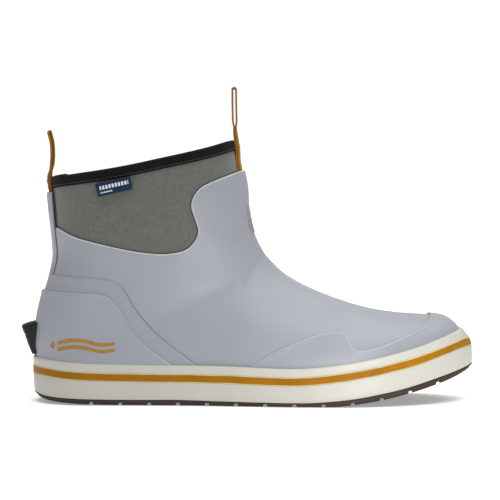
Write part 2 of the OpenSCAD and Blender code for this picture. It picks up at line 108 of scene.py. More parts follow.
WINDOW = [[145.4, 158.6], [137, 155.2], [128, 151.7], [117.4, 146.8], [112.1, 141.4],
    [109.7, 134.5], [111.2, 127.8], [113.6, 120.8], [114.4, 115.9], [112.1, 110], [106.8, 104.6],
    [99.9, 102.2], [88.2, 101.3], [70.6, 103.2], [50.6, 107.4], [30, 112.6], [16.8, 118.7]]
COUNTER_EDGE = [[-5, 88.6], [16.5, 87.1], [34.6, 85.7], [53, 83.8], [60.1, 81.3], [63.4, 78.2],
    [67.3, 71.8], [71.1, 64.8], [79.8, 54.2], [88.7, 45.2], [97.7, 38], [106.7, 31.6],
    [114, 25.5], [120, 20]]
CUP_EDGE = [[-5, 77.2], [16.5, 76], [33.7, 75], [46, 74.2], [52.1, 72.8], [56.8, 69.7],
    [60.5, 64.6], [64.9, 58], [68.6, 51], [75.5, 42.8], [83.9, 35.6], [91.7, 30], [98, 25.5],
    [104, 20.5]]
RAND_EDGE = [[138, 19], [146, 24], [156.6, 31.4], [170, 38.8], [184, 44.9], [195, 48.4],
    [206.8, 50.2], [212.6, 48.4], [215.4, 43.9], [217.6, 39.6], [222.6, 37.6], [234, 39.5],
    [248.5, 44.6], [263.6, 51.3], [270, 56], [275, 64]]


# ------------------------------------------------------------------ curves and tables
def table(x, rows):
    """Smooth interpolation of [x, value] rows, clamped at the ends."""
    x = np.asarray(x, float)
    t = np.asarray(rows, float)
    n = len(t)
    slope = np.array([(t[min(i + 1, n - 1), 1] - t[max(i - 1, 0), 1])
                      / (t[min(i + 1, n - 1), 0] - t[max(i - 1, 0), 0]) for i in range(n)])
    i = np.clip(np.searchsorted(t[:, 0], x, side="right") - 1, 0, n - 2)
    w = t[i + 1, 0] - t[i, 0]
    u = np.clip((x - t[i, 0]) / w, 0, 1)
    v = u * u * (3 - 2 * u)
    return (t[i, 1] * (1 - v) + t[i + 1, 1] * v
            + w * (slope[i] * u * (1 - u) ** 2 - slope[i + 1] * u * u * (1 - u)))


def along(t, line):
    """The point at place t on a smooth curve through the rows of line."""
    t = np.asarray(t, float)
    line = np.asarray(line, float)
    n = len(line) - 1
    i = np.clip(np.floor(t).astype(int), 0, n - 1)
    u = (t - i)[..., None]
    p0, p1 = line[np.maximum(i - 1, 0)], line[i]
    p2, p3 = line[i + 1], line[np.minimum(i + 2, n)]
    return 0.5 * (2 * p1 + (p2 - p0) * u + (2 * p0 - 5 * p1 + 4 * p2 - p3) * u ** 2
                  + (3 * p1 - p0 - 3 * p2 + p3) * u ** 3)


def ease(u):
    v = np.clip(u, 0, 1)
    return v * v * (3 - 2 * v)


def curve(points, steps=10):
    n = len(points) - 1
    return along(np.linspace(0, n, n * steps + 1), points)


def lengths(points):
    """Distance along a line of points, up to each of them."""
    return np.concatenate([[0], np.cumsum(np.linalg.norm(np.diff(points, axis=0), axis=1))])


def tube_faces(n, k, flip=False):
    """Quads between n rings of k points, and a cap at each end."""
    idx = np.arange(n * k).reshape(n, k)
    a, b = idx[:-1], idx[1:]
    quad = [a, b, np.roll(b, -1, 1), np.roll(a, -1, 1)] if flip else \
        [a, np.roll(a, -1, 1), np.roll(b, -1, 1), b]
    faces = np.stack(quad, -1).reshape(-1, 4).tolist()
    first, last = idx[0].tolist(), idx[-1].tolist()
    return faces + ([first, last[::-1]] if flip else [first[::-1], last])


def line_frame(line):
    """Unit directions and normals along a line in the x-z plane."""
    d = np.gradient(line, axis=0)
    d /= np.linalg.norm(d, axis=1)[:, None]
    return d, np.stack([-d[:, 1], d[:, 0]], 1)


# ------------------------------------------------------------------ the base surface
def half_width(x):
    x = np.asarray(x, float)
    heel = HEEL_HALF * np.sqrt(np.clip(1 - ((HEEL_X + HEEL_ROUND - x) / HEEL_ROUND) ** 2, 0, 1))
    middle = HEEL_HALF + (BALL_HALF - HEEL_HALF) * ease((x - 90) / (BALL_X - 90))
    toe = BALL_HALF * np.sqrt(np.clip(1 - ((x - BALL_X) / (TOE_X - BALL_X)) ** 2, 0, 1))
    w = np.where(x < HEEL_X + HEEL_ROUND, heel, np.where(x < BALL_X, middle, toe))
    return np.where((x <= HEEL_X) | (x >= TOE_X), 0, w)


def base(t, angle):
    """Point of the outside of the neoprene, in boot millimetres; angle in degrees, 0 in front."""
    t, angle = np.broadcast_arrays(np.asarray(t, float), np.asarray(angle, float))
    f, b = along(t, FRONT), along(t, BACK)
    length = np.linalg.norm(f - b, axis=-1)
    cos, sin = np.cos(np.radians(angle)), np.sin(np.radians(angle))
    a = length * (1 + cos) / 2
    p = b + (f - b) * (a / length)[..., None]
    heel = ease((HEEL_TURN + 0.7 - t) / 1.4)
    c = length * table(t, WIDEST)
    q = np.maximum(a - c, 0) / (length - c)
    n = table(t, FULLNESS)
    top = np.maximum(1 - q ** n, 0) ** (1 / n)
    r = np.minimum(9, 0.4 * length) * (1 - heel)
    s = np.clip((r - a) / np.maximum(r, 1e-9), 0, 1)
    under = np.where(a < r, np.maximum(1 - s ** 3, 0) ** (1 / 3), 1)
    w = half_width(p[..., 0] - (b[..., 0] - HEEL_X) * heel) * table(p[..., 1], WIDTH_GAIN)
    w = w * top * under * np.sign(np.round(sin, 7))
    return np.stack([p[..., 0], table(p[..., 0], CENTRE_LINE) - w, p[..., 1]], -1)


def outward(t, angle):
    """Unit normal of the base surface, pointing out."""
    t = np.asarray(t, float)
    t0, t1 = np.maximum(t - 0.06, 0), np.minimum(t + 0.06, TOE_RING)
    d = np.cross(base(t, angle + 1.0) - base(t, angle - 1.0), base(t1, angle) - base(t0, angle))
    return d / np.maximum(np.linalg.norm(d, axis=-1), 1e-9)[..., None]


def ring_places(step):
    """Places along the boot whose rings are about step mm apart."""
    t = np.linspace(0, TOE_RING, 4001)
    gap = np.maximum(np.linalg.norm(np.diff(along(t, FRONT), axis=0), axis=1),
                     0.6 * np.linalg.norm(np.diff(along(t, BACK), axis=0), axis=1))
    s = np.concatenate([[0], np.cumsum(gap)])
    return np.interp(np.linspace(0, s[-1], int(s[-1] / step) + 1), s, t)


# ------------------------------------------------------------------ meshes as arrays
class Skin:
    """Triangles over the base surface: columns of V are position (3), normal (3), then fields."""

    def __init__(self, step=2.0, around=180, t0=0.0, t1=TOE_RING):
        t = ring_places(step)
        t = t[(t >= t0 - 1e-9) & (t <= t1 + 1e-9)]
        a = np.arange(around) * 360 / around
        tt, aa = np.meshgrid(t, a, indexing="ij")
        pos, nor = base(tt, aa), outward(tt, aa)
        self.V = np.concatenate([pos.reshape(-1, 3), nor.reshape(-1, 3)], 1)
        m, n = tt.shape
        i, j = np.meshgrid(np.arange(m - 1), np.arange(n), indexing="ij")
        k = (j + 1) % n
        q = np.stack([i * n + j, (i + 1) * n + j, (i + 1) * n + k, i * n + k], -1).reshape(-1, 4)
        self.T = np.concatenate([q[:, [0, 1, 2]], q[:, [0, 2, 3]]])
        self.fields = {}

    def add(self, name, values):
        self.fields[name] = self.V.shape[1]
        self.V = np.concatenate([self.V, np.asarray(values, float).reshape(-1, 1)], 1)

    def get(self, name):
        return self.V[:, self.fields[name]]

    @property
    def P(self):
        return self.V[:, :3]

    @property
    def N(self):
        n = self.V[:, 3:6]
        return n / np.maximum(np.linalg.norm(n, axis=1), 1e-9)[:, None]

    def split(self, name, *levels):
        """Adds an edge loop wherever a field crosses each level."""
        for level in levels:
            col = self.fields[name]
            g = self.V[:, col] - level
            near = np.abs(g) < 0.02
            self.V[near, col] = level
            g[near] = 0
            s = np.sign(g)[self.T]
            edges = [(0, 1), (1, 2), (2, 0)]
            cross = np.stack([s[:, a] * s[:, b] < 0 for a, b in edges], 1)
            count = cross.sum(1)
            keep = self.T[count == 0]
            made = {}
            rows = []
            new = []
            base_n = len(self.V)

            def mid(a, b):
                key = (a, b) if a < b else (b, a)
                if key not in made:
                    made[key] = base_n + len(rows)
                    u = g[a] / (g[a] - g[b])
                    rows.append(self.V[a] * (1 - u) + self.V[b] * u)
                    rows[-1][col] = level
                return made[key]

            for tri, c in zip(self.T[count > 0], cross[count > 0]):
                if c.sum() == 1:
                    e = int(np.argmax(c))
                    b, d, a = tri[e], tri[(e + 1) % 3], tri[(e + 2) % 3]
                    m = mid(b, d)
                    new += [(a, b, m), (a, m, d)]
                else:
                    e = int(np.argmin(c))
                    a, b, d = tri[(e + 2) % 3], tri[e], tri[(e + 1) % 3]
                    m1, m2 = mid(a, b), mid(d, a)
                    new += [(a, m1, m2), (m1, b, d), (m1, d, m2)]
            if rows:
                self.V = np.concatenate([self.V, np.array(rows)])
                self.T = np.concatenate([keep, np.array(new, int)])
        return self

    def clip(self, name, level, above=True):
        """Keeps the side of a level where the field is above it, or below it."""
        self.split(name, level)
        g = self.get(name) - level
        side = g[self.T].sum(1)
        self.T = self.T[side > 0] if above else self.T[side < 0]
        used = np.unique(self.T)
        remap = -np.ones(len(self.V), int)
        remap[used] = np.arange(len(used))
        self.V, self.T = self.V[used], remap[self.T]
        return self

    def copy(self):
        other = object.__new__(Skin)
        other.V, other.T, other.fields = self.V.copy(), self.T.copy(), dict(self.fields)
        return other


def signed_distance(x, z, outline):
    """Distance in the side view to a closed outline, positive inside it."""
    q = np.asarray(outline, float)
    out = np.full(x.shape, 1e9)
    inside = np.zeros(x.shape, bool)
    for a, b in zip(q, np.roll(q, -1, 0)):
        e = b - a
        l2 = max(e @ e, 1e-12)
        u = np.clip(((x - a[0]) * e[0] + (z - a[1]) * e[1]) / l2, 0, 1)
        out = np.minimum(out, (x - a[0] - u * e[0]) ** 2 + (z - a[1] - u * e[1]) ** 2)
        if a[1] != b[1]:
            hit = ((a[1] > z) != (b[1] > z)) & (x < e[0] * (z - a[1]) / (b[1] - a[1]) + a[0])
            inside ^= hit
    d = np.sqrt(out)
    return np.where(inside, d, -d)


def boundary(T):
    """Directed edges that only one triangle uses."""
    e = np.concatenate([T[:, [0, 1]], T[:, [1, 2]], T[:, [2, 0]]])
    key = np.sort(e, 1)
    _, index, count = np.unique(key, axis=0, return_index=True, return_counts=True)
    return e[index[count == 1]]


def closed(skin, outer, inner):
    """Points and faces of the solid between two offsets of a skin (numbers or one per vertex)."""
    n = len(skin.V)
    outer, inner = np.broadcast_to(outer, n), np.broadcast_to(inner, n)
    top = skin.P + skin.N * outer[:, None]
    low = skin.P + skin.N * inner[:, None]
    e = boundary(skin.T)
    faces = [tuple(f) for f in skin.T.tolist()]
    faces += [(c + n, b + n, a + n) for a, b, c in skin.T.tolist()]
    faces += [(b, a, a + n, b + n) for a, b in e.tolist()]
    return np.concatenate([top, low]), faces


def rounded(d, height, radius):
    """Height of a layer at distance d in from its edge, with a rounded shoulder."""
    u = np.clip(1 - d / radius, 0, 1)
    return height - radius * (1 - np.sqrt(np.clip(1 - u * u, 0, 1)))


def edge_uv(d, inset, k=1.0):
    """Distance in from a layer's edge as span.x, for the points of closed()."""
    one = np.stack([k * d + inset, np.zeros(len(d))], 1)
    return np.concatenate([one, one])


def smooth_mesh(o, sharp=38):
    o.data.polygons.foreach_set("use_smooth", [True] * len(o.data.polygons))
    if sharp:
        o.data.set_sharp_from_angle(angle=math.radians(sharp))
    o.data.update()
    return o


def build(name, points, faces, material, body="boot", replaces=(), slot=None, uv=None, sharp=38,
          blend=None):
    """One Blender piece from points in boot millimetres."""
    mesh = bpy.data.meshes.new(name)
    mesh.from_pydata(row(points).tolist(), [], [tuple(f) for f in faces])
    mesh.validate()
    o = bpy.data.objects.new(name, mesh)
    bpy.context.scene.collection.objects.link(o)
    if uv is not None:
        layer = mesh.uv_layers.new(name="span")
        index = np.zeros(len(mesh.loops), int)
        mesh.loops.foreach_get("vertex_index", index)
        layer.data.foreach_set("uv", np.asarray(uv, float)[index].ravel())
    smooth_mesh(o, sharp)
    mesh.materials.append(material)
    if blend:
        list(blend)
        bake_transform(o)
    else:
        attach(o, body)
    if replaces:
        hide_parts(*replaces)
    return o


# ------------------------------------------------------------------ materials
class Maker:
    """A small helper for node materials."""

    def __init__(self, name, colour, roughness):
        self.mat = bpy.data.materials.new(name)
        self.mat.use_nodes = True
        self.nt = self.mat.node_tree
        self.bsdf = next(n for n in self.nt.nodes if n.type == "BSDF_PRINCIPLED")
        self.bsdf.inputs["Base Color"].default_value = (*colour, 1)
        self.bsdf.inputs["Roughness"].default_value = roughness
        self.colour = colour
        self.coords = self.nt.nodes.new("ShaderNodeTexCoord").outputs["Object"]

    def node(self, kind, inputs=None, **props):
        n = self.nt.nodes.new(kind)
        for k, v in props.items():
            setattr(n, k, v)
        for k, v in (inputs or {}).items():
            if isinstance(v, bpy.types.NodeSocket):
                self.nt.links.new(v, n.inputs[k])
            else:
                n.inputs[k].default_value = v
        return n

    def noise(self, scale, detail=4, rough=0.5, stretch=None):
        c = self.coords
        if stretch:
            c = self.node("ShaderNodeMapping", {"Vector": c, "Scale": stretch}).outputs[0]
        return self.node("ShaderNodeTexNoise", {"Vector": c, "Scale": scale, "Detail": detail,
                                                "Roughness": rough}).outputs[0]

    def ramp(self, value, stops):
        n = self.node("ShaderNodeValToRGB", {0: value})
        e = n.color_ramp.elements
        while len(e) < len(stops):
            e.new(0.5)
        for el, (pos, col) in zip(e, stops):
            el.position = pos
            el.color = (*col, 1) if len(col) == 3 else col
        return n.outputs[0]

    def grey(self, value, lo, hi, a=0.0, b=1.0):
        return self.node("ShaderNodeMapRange", {"Value": value, "From Min": lo, "From Max": hi,
                                                "To Min": a, "To Max": b}).outputs[0]

    def mix(self, factor, a, b):
        n = self.node("ShaderNodeMix", data_type="RGBA", blend_type="MIX")
        for key, v in ((0, factor), (6, a), (7, b)):
            if isinstance(v, bpy.types.NodeSocket):
                self.nt.links.new(v, n.inputs[key])
            elif key == 0:
                n.inputs[0].default_value = v
            else:
                n.inputs[key].default_value = (*v, 1)
        return n.outputs[2]

    def maths(self, op, a, b=None, c=None):
        n = self.node("ShaderNodeMath", operation=op)
        for k, v in enumerate((a, b, c)):
            if isinstance(v, bpy.types.NodeSocket):
                self.nt.links.new(v, n.inputs[k])
            elif v is not None:
                n.inputs[k].default_value = v
        return n.outputs[0]

    def set(self, socket, value):
        if isinstance(value, bpy.types.NodeSocket):
            self.nt.links.new(value, self.bsdf.inputs[socket])
        else:
            self.bsdf.inputs[socket].default_value = value

    def bump(self, height, distance, strength=1.0, normal=None):
        n = self.node("ShaderNodeBump", {"Height": height, "Distance": distance,
                                         "Strength": strength})
        if normal is not None:
            self.nt.links.new(normal, n.inputs["Normal"])
        self.nt.links.new(n.outputs[0], self.bsdf.inputs["Normal"])
        return n.outputs[0]


def scaled(colour, k):
    return tuple(min(1.0, c * k) for c in colour)


def rubber(name, colour, roughness=0.5, spread=0.05, grain=0.02):
    m = Maker(name, colour, roughness)
    big = m.noise(22, 3, 0.55)
    fine = m.noise(900, 3, 0.6)
    tone = m.ramp(big, [(0.3, scaled(colour, 1 - spread)), (0.7, scaled(colour, 1 + spread))])
    speck = m.mix(m.grey(fine, 0.62, 0.75, 0, 0.25), tone, scaled(colour, 0.8))
    m.set("Base Color", speck)
    m.set("Roughness", m.grey(m.noise(60, 4, 0.6), 0.3, 0.7, roughness - 0.05, roughness + 0.07))
    b = m.bump(m.noise(70, 3, 0.5), 0.0012, 0.12)
    m.bump(m.noise(1600, 2, 0.5), grain * 0.001, 0.5, b)
    return m


SHELL_TONE = (0.248, 0.258, 0.289)


def painted_edge_highlight(m, highlight_amount=0.6):
    """Paints a highlight into the colour along the moulded edge by mixing in light grey: span.x is
    the distance in from it, in millimetres.
    """
    uv = m.node("ShaderNodeUVMap", uv_map="span").outputs[0]
    d = m.node("ShaderNodeSeparateXYZ", {0: uv}).outputs[0]
    edge = m.grey(d, 0.35, 0.95, highlight_amount, 0.0)
    tone = m.bsdf.inputs["Base Color"].links[0].from_socket
    # painted highlight: light grey mixed in near the edge
    m.set("Base Color", m.mix(edge, tone, (0.62, 0.62, 0.62)))
    return m.mat


# the shell rubber, with a painted highlight along its window rim
def shell_rubber():
    return painted_edge_highlight(rubber("shell_rubber", SHELL_TONE, 0.45, 0.03))


# the shell tone scaled by k, with a painted highlight along the overlay's edge
def overlay_rubber(name, k, highlight_amount):
    return painted_edge_highlight(rubber(name, scaled(SHELL_TONE, k), 0.45, 0.03), highlight_amount)


def neoprene():
    c = (0.122, 0.122, 0.110)
    m = Maker("neoprene_knit", c, 0.9)
    # rows of tiny knit loops, with a heathered yarn colour
    wave = m.node("ShaderNodeTexVoronoi", {"Vector": m.node("ShaderNodeMapping", {
        "Vector": m.coords, "Scale": (1.0, 1.0, 0.62)}).outputs[0], "Scale": 1250.0,
        "Randomness": 0.55}).outputs["Distance"]
    heather = m.noise(420, 5, 0.7)
    tone = m.ramp(heather, [(0.32, scaled(c, 0.82)), (0.52, c), (0.7, scaled(c, 1.25))])
    cloud = m.noise(14, 3, 0.6)
    tone = m.mix(m.grey(cloud, 0.35, 0.65, 0.0, 0.22), tone, scaled(c, 0.82))
    tone = m.mix(m.grey(wave, 0.1, 0.6, 0.0, 0.35), tone, scaled(c, 0.55))
    m.set("Base Color", tone)
    m.set("Sheen Weight", 0.25)
    m.set("Sheen Roughness", 0.5)
    m.set("Specular IOR Level", 0.25)
    b = m.bump(wave, 0.00018, 0.7)
    m.bump(m.noise(240, 3, 0.6), 0.0002, 0.35, b)
    return m.mat


def fabric_tape(name, colour, pitch=0.9, rough=0.85, depth=0.0002, shine=0.25):
    """A woven tape: span.x runs along it and span.y across it, in millimetres."""
    m = Maker(name, colour, rough)
    uv = m.node("ShaderNodeUVMap", uv_map="span").outputs[0]
    sep = m.node("ShaderNodeSeparateXYZ", {0: uv})
    u, v = sep.outputs[0], sep.outputs[1]
    k = 2 * math.pi / pitch
    # twill: diagonal ribs with a cross thread
    d1 = m.maths("SINE", m.maths("MULTIPLY", m.maths("ADD", u, m.maths("MULTIPLY", v, 0.55)), k))
    d2 = m.maths("SINE", m.maths("MULTIPLY", v, k * 1.35))
    h = m.maths("MULTIPLY_ADD", d1, 0.6, m.maths("MULTIPLY", d2, 0.4))
    h01 = m.grey(h, -1.0, 1.0, 0.0, 1.0)
    n = m.noise(700, 3, 0.6)
    tone = m.ramp(h01, [(0.12, scaled(colour, 0.42)), (0.5, scaled(colour, 0.95)),
                        (0.9, scaled(colour, 1.3))])
    tone = m.mix(m.grey(n, 0.35, 0.7, 0.0, 0.4), tone, scaled(colour, 0.6))
    m.set("Base Color", tone)
    m.set("Sheen Weight", 0.25 * shine)
    m.set("Specular IOR Level", shine)
    m.bump(h01, depth, 0.9)
    return m


def stripe_rubber():
    gold, painted_highlight_cream = (0.275, 0.112, 0.001), (0.56, 0.46, 0.22)
    m = Maker("stripe_rubber", gold, 0.42)
    uv = m.node("ShaderNodeUVMap", uv_map="span").outputs[0]
    v = m.node("ShaderNodeSeparateXYZ", {0: uv}).outputs[1]
    n = m.noise(60, 4, 0.6)
    tone = m.ramp(n, [(0.3, scaled(gold, 0.86)), (0.7, scaled(gold, 1.12))])
    wob = m.grey(m.noise(120, 2, 0.5), 0.3, 0.7, -0.12, 0.12)
    # painted highlight: cream mixed in along both edges of the stripe
    edge = m.maths("SUBTRACT", STRIPE_H / 2, m.maths("ABSOLUTE", m.maths("ADD", v, wob)))
    m.set("Base Color", m.mix(m.grey(edge, 0.35, 0.75, 1.0, 0.0), tone, painted_highlight_cream))
    m.set("Roughness", m.grey(m.noise(90, 3, 0.5), 0.3, 0.7, 0.45, 0.58))
    m.set("Specular IOR Level", 0.12)
    m.bump(m.noise(900, 2, 0.5), 0.00002, 0.5)
    return m.mat


def foxing_rubber():
    return rubber("foxing_rubber", (0.43, 0.42, 0.372), 0.45, 0.02, 0.015).mat


def outsole_rubber():
    c = (0.036, 0.022, 0.016)
    m = Maker("outsole_rubber", c, 0.62)
    tone = m.ramp(m.noise(50, 4, 0.6), [(0.3, scaled(c, 0.8)), (0.7, scaled(c, 1.3))])
    dust = m.grey(m.noise(260, 4, 0.7), 0.58, 0.8, 0.0, 0.35)
    m.set("Base Color", m.mix(dust, tone, (0.075, 0.05, 0.042)))
    m.set("Specular IOR Level", 0.25)
    m.bump(m.noise(900, 3, 0.5), 0.00006, 0.6)
    return m.mat


# ------------------------------------------------------------------ shared fields
def window_outline():
    c = curve(WINDOW, 12)
    return np.concatenate([c, [[-60, 118.7], [-60, -60], [400, -60], [400, 158.6]]])


def below(edge, x_end):
    """The closed outline under an edge, in the side view."""
    c = curve(edge, 12)
    return np.concatenate([c, [[x_end, -60], [-60, -60], [-60, c[0][1]]]])


FRONT_Y = float(table(138, CENTRE_LINE))


def tail_swell(p):
    """How far the webbing sewn under the shell lifts it, in front and at the back."""
    x, y, z = p[:, 0], p[:, 1], p[:, 2]
    front = ease((12.6 - np.abs(y - FRONT_Y)) / 4.6) * ease((z - 124) / 25) * (x > 100)
    back = ease((13.2 - np.abs(y)) / 4.6) * ease((z - 112) / 26) * (x < 60)
    return 2 * WEB * front + 1.3 * WEB * back


def creases(p):
    """Soft folds that the shell has kept over the ankle and the instep."""
    x, z = p[:, 0], p[:, 2]
    out = np.zeros(len(p))
    for (x0, z0), (x1, z1), width, height in CREASES:
        e = np.array([x1 - x0, z1 - z0], float)
        l2 = e @ e
        u = ((x - x0) * e[0] + (z - z0) * e[1]) / l2
        d = ((x - x0) * e[1] - (z - z0) * e[0]) / math.sqrt(l2)
        bow = d - 1.2 * np.sin(np.pi * np.clip(u, 0, 1))
        out += height * np.exp(-(bow / width) ** 2) * np.exp(-((u - 0.5) / 0.46) ** 4)
    return out


CREASES = [((159, 101), (145, 74), 1.9, -0.45), ((166, 98), (150, 66), 6.0, 0.3),
           ((111, 92), (139, 77), 2.6, 0.38), ((108, 87), (138, 71), 4.0, -0.22)]


# ------------------------------------------------------------------ the upper
def make_upper():
    skin = Skin(step=1.9, around=188)
    p0 = skin.P + skin.N * SHELL
    x, z = p0[:, 0], p0[:, 2]
    skin.add("window", signed_distance(x, z, window_outline()))
    skin.add("foot", z - table(x, FOXING_LINE))
    skin.add("collar", table(skin.P[:, 0], COLLAR_LINE) - skin.P[:, 2])
    pc = skin.P + skin.N * (SHELL + COUNTER)
    skin.add("counter", signed_distance(pc[:, 0], pc[:, 2], below(COUNTER_EDGE, 120)))
    pc = skin.P + skin.N * (SHELL + COUNTER + CUP)
    skin.add("cup", signed_distance(pc[:, 0], pc[:, 2], below(CUP_EDGE, 104)))
    pc = skin.P + skin.N * (SHELL + RAND)
    right = np.concatenate([curve(RAND_EDGE, 12), [[282, 90], [400, 90], [400, -60], [138, -60]]])
    skin.add("rand", signed_distance(pc[:, 0], pc[:, 2], right))
    # the stay, as half width left over at each height
    y, z = skin.P[:, 1], skin.P[:, 2]
    half = table(z, [[80, 15], [89, 15.2], [102, 16], [119, 15.6], [143, 13.2]])
    stay = np.minimum(half - np.abs(y), np.minimum(z - 86.5, 143.2 - z))
    skin.add("stay", np.where(skin.P[:, 0] < 60, stay, -50))
    badge = np.minimum(9.8 - np.abs(y - FRONT_Y), np.minimum(z - 115, 137 - z))
    skin.add("badge", np.where(skin.P[:, 0] > 100, badge, -50))

    # neoprene: seen in the window, and tucked a little way under the shell
    neo = skin.copy().clip("collar", 0).clip("window", 7, above=False)
    build("neoprene_sleeve", *closed(neo, 0.0, -NEOPRENE), MAT["neoprene"],
          replaces=["neoprene_bootie"], slot="neoprene")

    # shell: from the window down to just behind the sidewall
    shell = skin.copy().clip("foot", -5).clip("window", 0)
    shell.split("window", 0.12, 0.35, 0.7, 1.2, 2.2)
    d = shell.get("window")
    lift = tail_swell(shell.P)
    form = creases(shell.P + shell.N * SHELL) * ease((d - 2) / 8)
    outer = rounded(d, SHELL, 1.0) + lift + form
    build("shell_upper", *closed(shell, outer, 0.05), MAT["shell"],
          replaces=["rubber_shell"], slot="shell_rubber", sharp=50, uv=edge_uv(d, 0.0))

    # the dark seam bead along the window
    seam = skin.copy().clip("foot", 0).clip("window", -0.75).clip("window", 0.5, above=False)
    seam.split("window", -0.55, -0.15)
    d = seam.get("window")
    bead = 0.04 + 0.3 * np.sqrt(np.clip(1 - ((d + 0.15) / 0.62) ** 2, 0, 1))
    build("window_seam", *closed(seam, bead, 0.0), MAT["seam"], slot="binding_tape")

    # and the one down each side of the back stay
    seam = skin.copy().clip("counter", -0.5, above=False).clip("stay", -0.8)
    seam.add("height", 142.2 - seam.P[:, 2])
    seam.clip("height", 0).clip("stay", 0.25, above=False).split("stay", -0.6, -0.25)
    d = seam.get("stay")
    bead = SHELL + 0.04 + tail_swell(seam.P) + 0.32 * np.sqrt(np.clip(
        1 - ((d + 0.28) / 0.56) ** 2, 0, 1))
    build("stay_seam", *closed(seam, bead, SHELL - 0.2), MAT["seam"], slot="binding_tape")

    # painted shadow: a thin dark strip lying on the shell down the front edge of the heel counter,
    # where a groove's shade would fall
    seam = skin.copy().clip("foot", 0).clip("cup", 0, above=False).clip("counter", -0.34)
    seam.add("height", 79.5 - seam.P[:, 2])
    seam.clip("height", 0).clip("counter", 0.12, above=False).split("counter", -0.2)
    build("counter_groove", *closed(seam, SHELL + 0.09, SHELL - 0.2), MAT["groove"],
          slot="overlay_rubber")

    # overlays
    # inset and scale of the edge distance that spreads each overlay's painted edge highlight
    highlight_fade_span = {"rand": (0.1, 0.55), "cup": (0.2, 0.8)}

    def overlay(name, field, inner, height, radius, material, replaces, slot, hump=None):
        s = skin.copy().clip("foot", OVERLAY_FOOT).clip(field, 0)
        s.split(field, 0.1 * radius, 0.3 * radius, 0.6 * radius, radius, 1.6 * radius)
        d = s.get(field)
        h = rounded(d, height, radius * 0.98) + tail_swell(s.P) * (field == "stay")
        if hump is not None:
            h = h + hump(s, d)
        return build(name, *closed(s, inner + h, inner - 0.4), material, replaces=replaces,
                     slot=slot, sharp=50, uv=edge_uv(d, *highlight_fade_span.get(field, (0.35, 1.0))))

    overlay("heel_counter_overlay", "counter", SHELL + 0.04, COUNTER, 0.95, MAT["counter"],
            ["heel_counter"], "overlay_rubber",
            hump=lambda s, d: 0.22 * np.exp(-((d - 1.2) / 0.6) ** 2))
    overlay("heel_cup_overlay", "cup", SHELL + COUNTER, CUP, 1.4, MAT["cup"], ["heel_cup"],
            "cup_rubber", hump=lambda s, d: 0.3 * np.exp(-((d - 1.5) / 0.7) ** 2))
    overlay("toe_rand_overlay", "rand", SHELL + 0.04, RAND - 0.25, 0.9, MAT["rand"],
            ["toe_rand"], "rand_rubber",
            hump=lambda s, d: 0.42 * np.exp(-((d - 1.5) / 0.9) ** 2))
    overlay("back_stay_strip", "stay", SHELL + 0.04, RAND, 0.7, MAT["stay"], ["back_stay"],
            "stay_rubber")
    overlay("shin_badge_plate", "badge", SHELL + 0.04, 0.75, 0.5, MAT["badge"], ["shin_badge"],
            "badge_rubber", hump=lambda s, d: -0.28 * (d > 1.6) * (np.abs(
                np.mod(s.P[:, 2] - 115, 4.4) - 2.2) < 1.2))

    # lining, seen in the mouth of the boot
    line = skin.copy().clip("collar", 0)
    line = open_toe(line)
    build("lining_sock", *closed(line, -NEOPRENE - GAP, -NEOPRENE - GAP - LINING), MAT["lining"],
          replaces=["airmesh_lining"], slot="lining_mesh")


def open_toe(skin):
    """Drops the last rings at the toe, where the inside folds over itself."""
    keep = skin.P[:, 0] < LINING_END
    skin.T = skin.T[keep[skin.T].all(1)]
    return skin


# ------------------------------------------------------------------ collar binding
def collar_frame(n=260):
    """Angle by angle: places on the surface for a drop s below the collar line."""
    angles = np.arange(n) * 360 / n
    t = np.linspace(0, 4.2, 500)
    grid_t, grid_a = np.meshgrid(t, angles, indexing="ij")
    p = base(grid_t, grid_a)
    drop = table(p[..., 0], COLLAR_LINE) - p[..., 2]

    def at(s):
        places = np.array([np.interp(s, drop[:, j], t) for j in range(n)])
        return base(places, angles), outward(places, angles)
    return angles, at


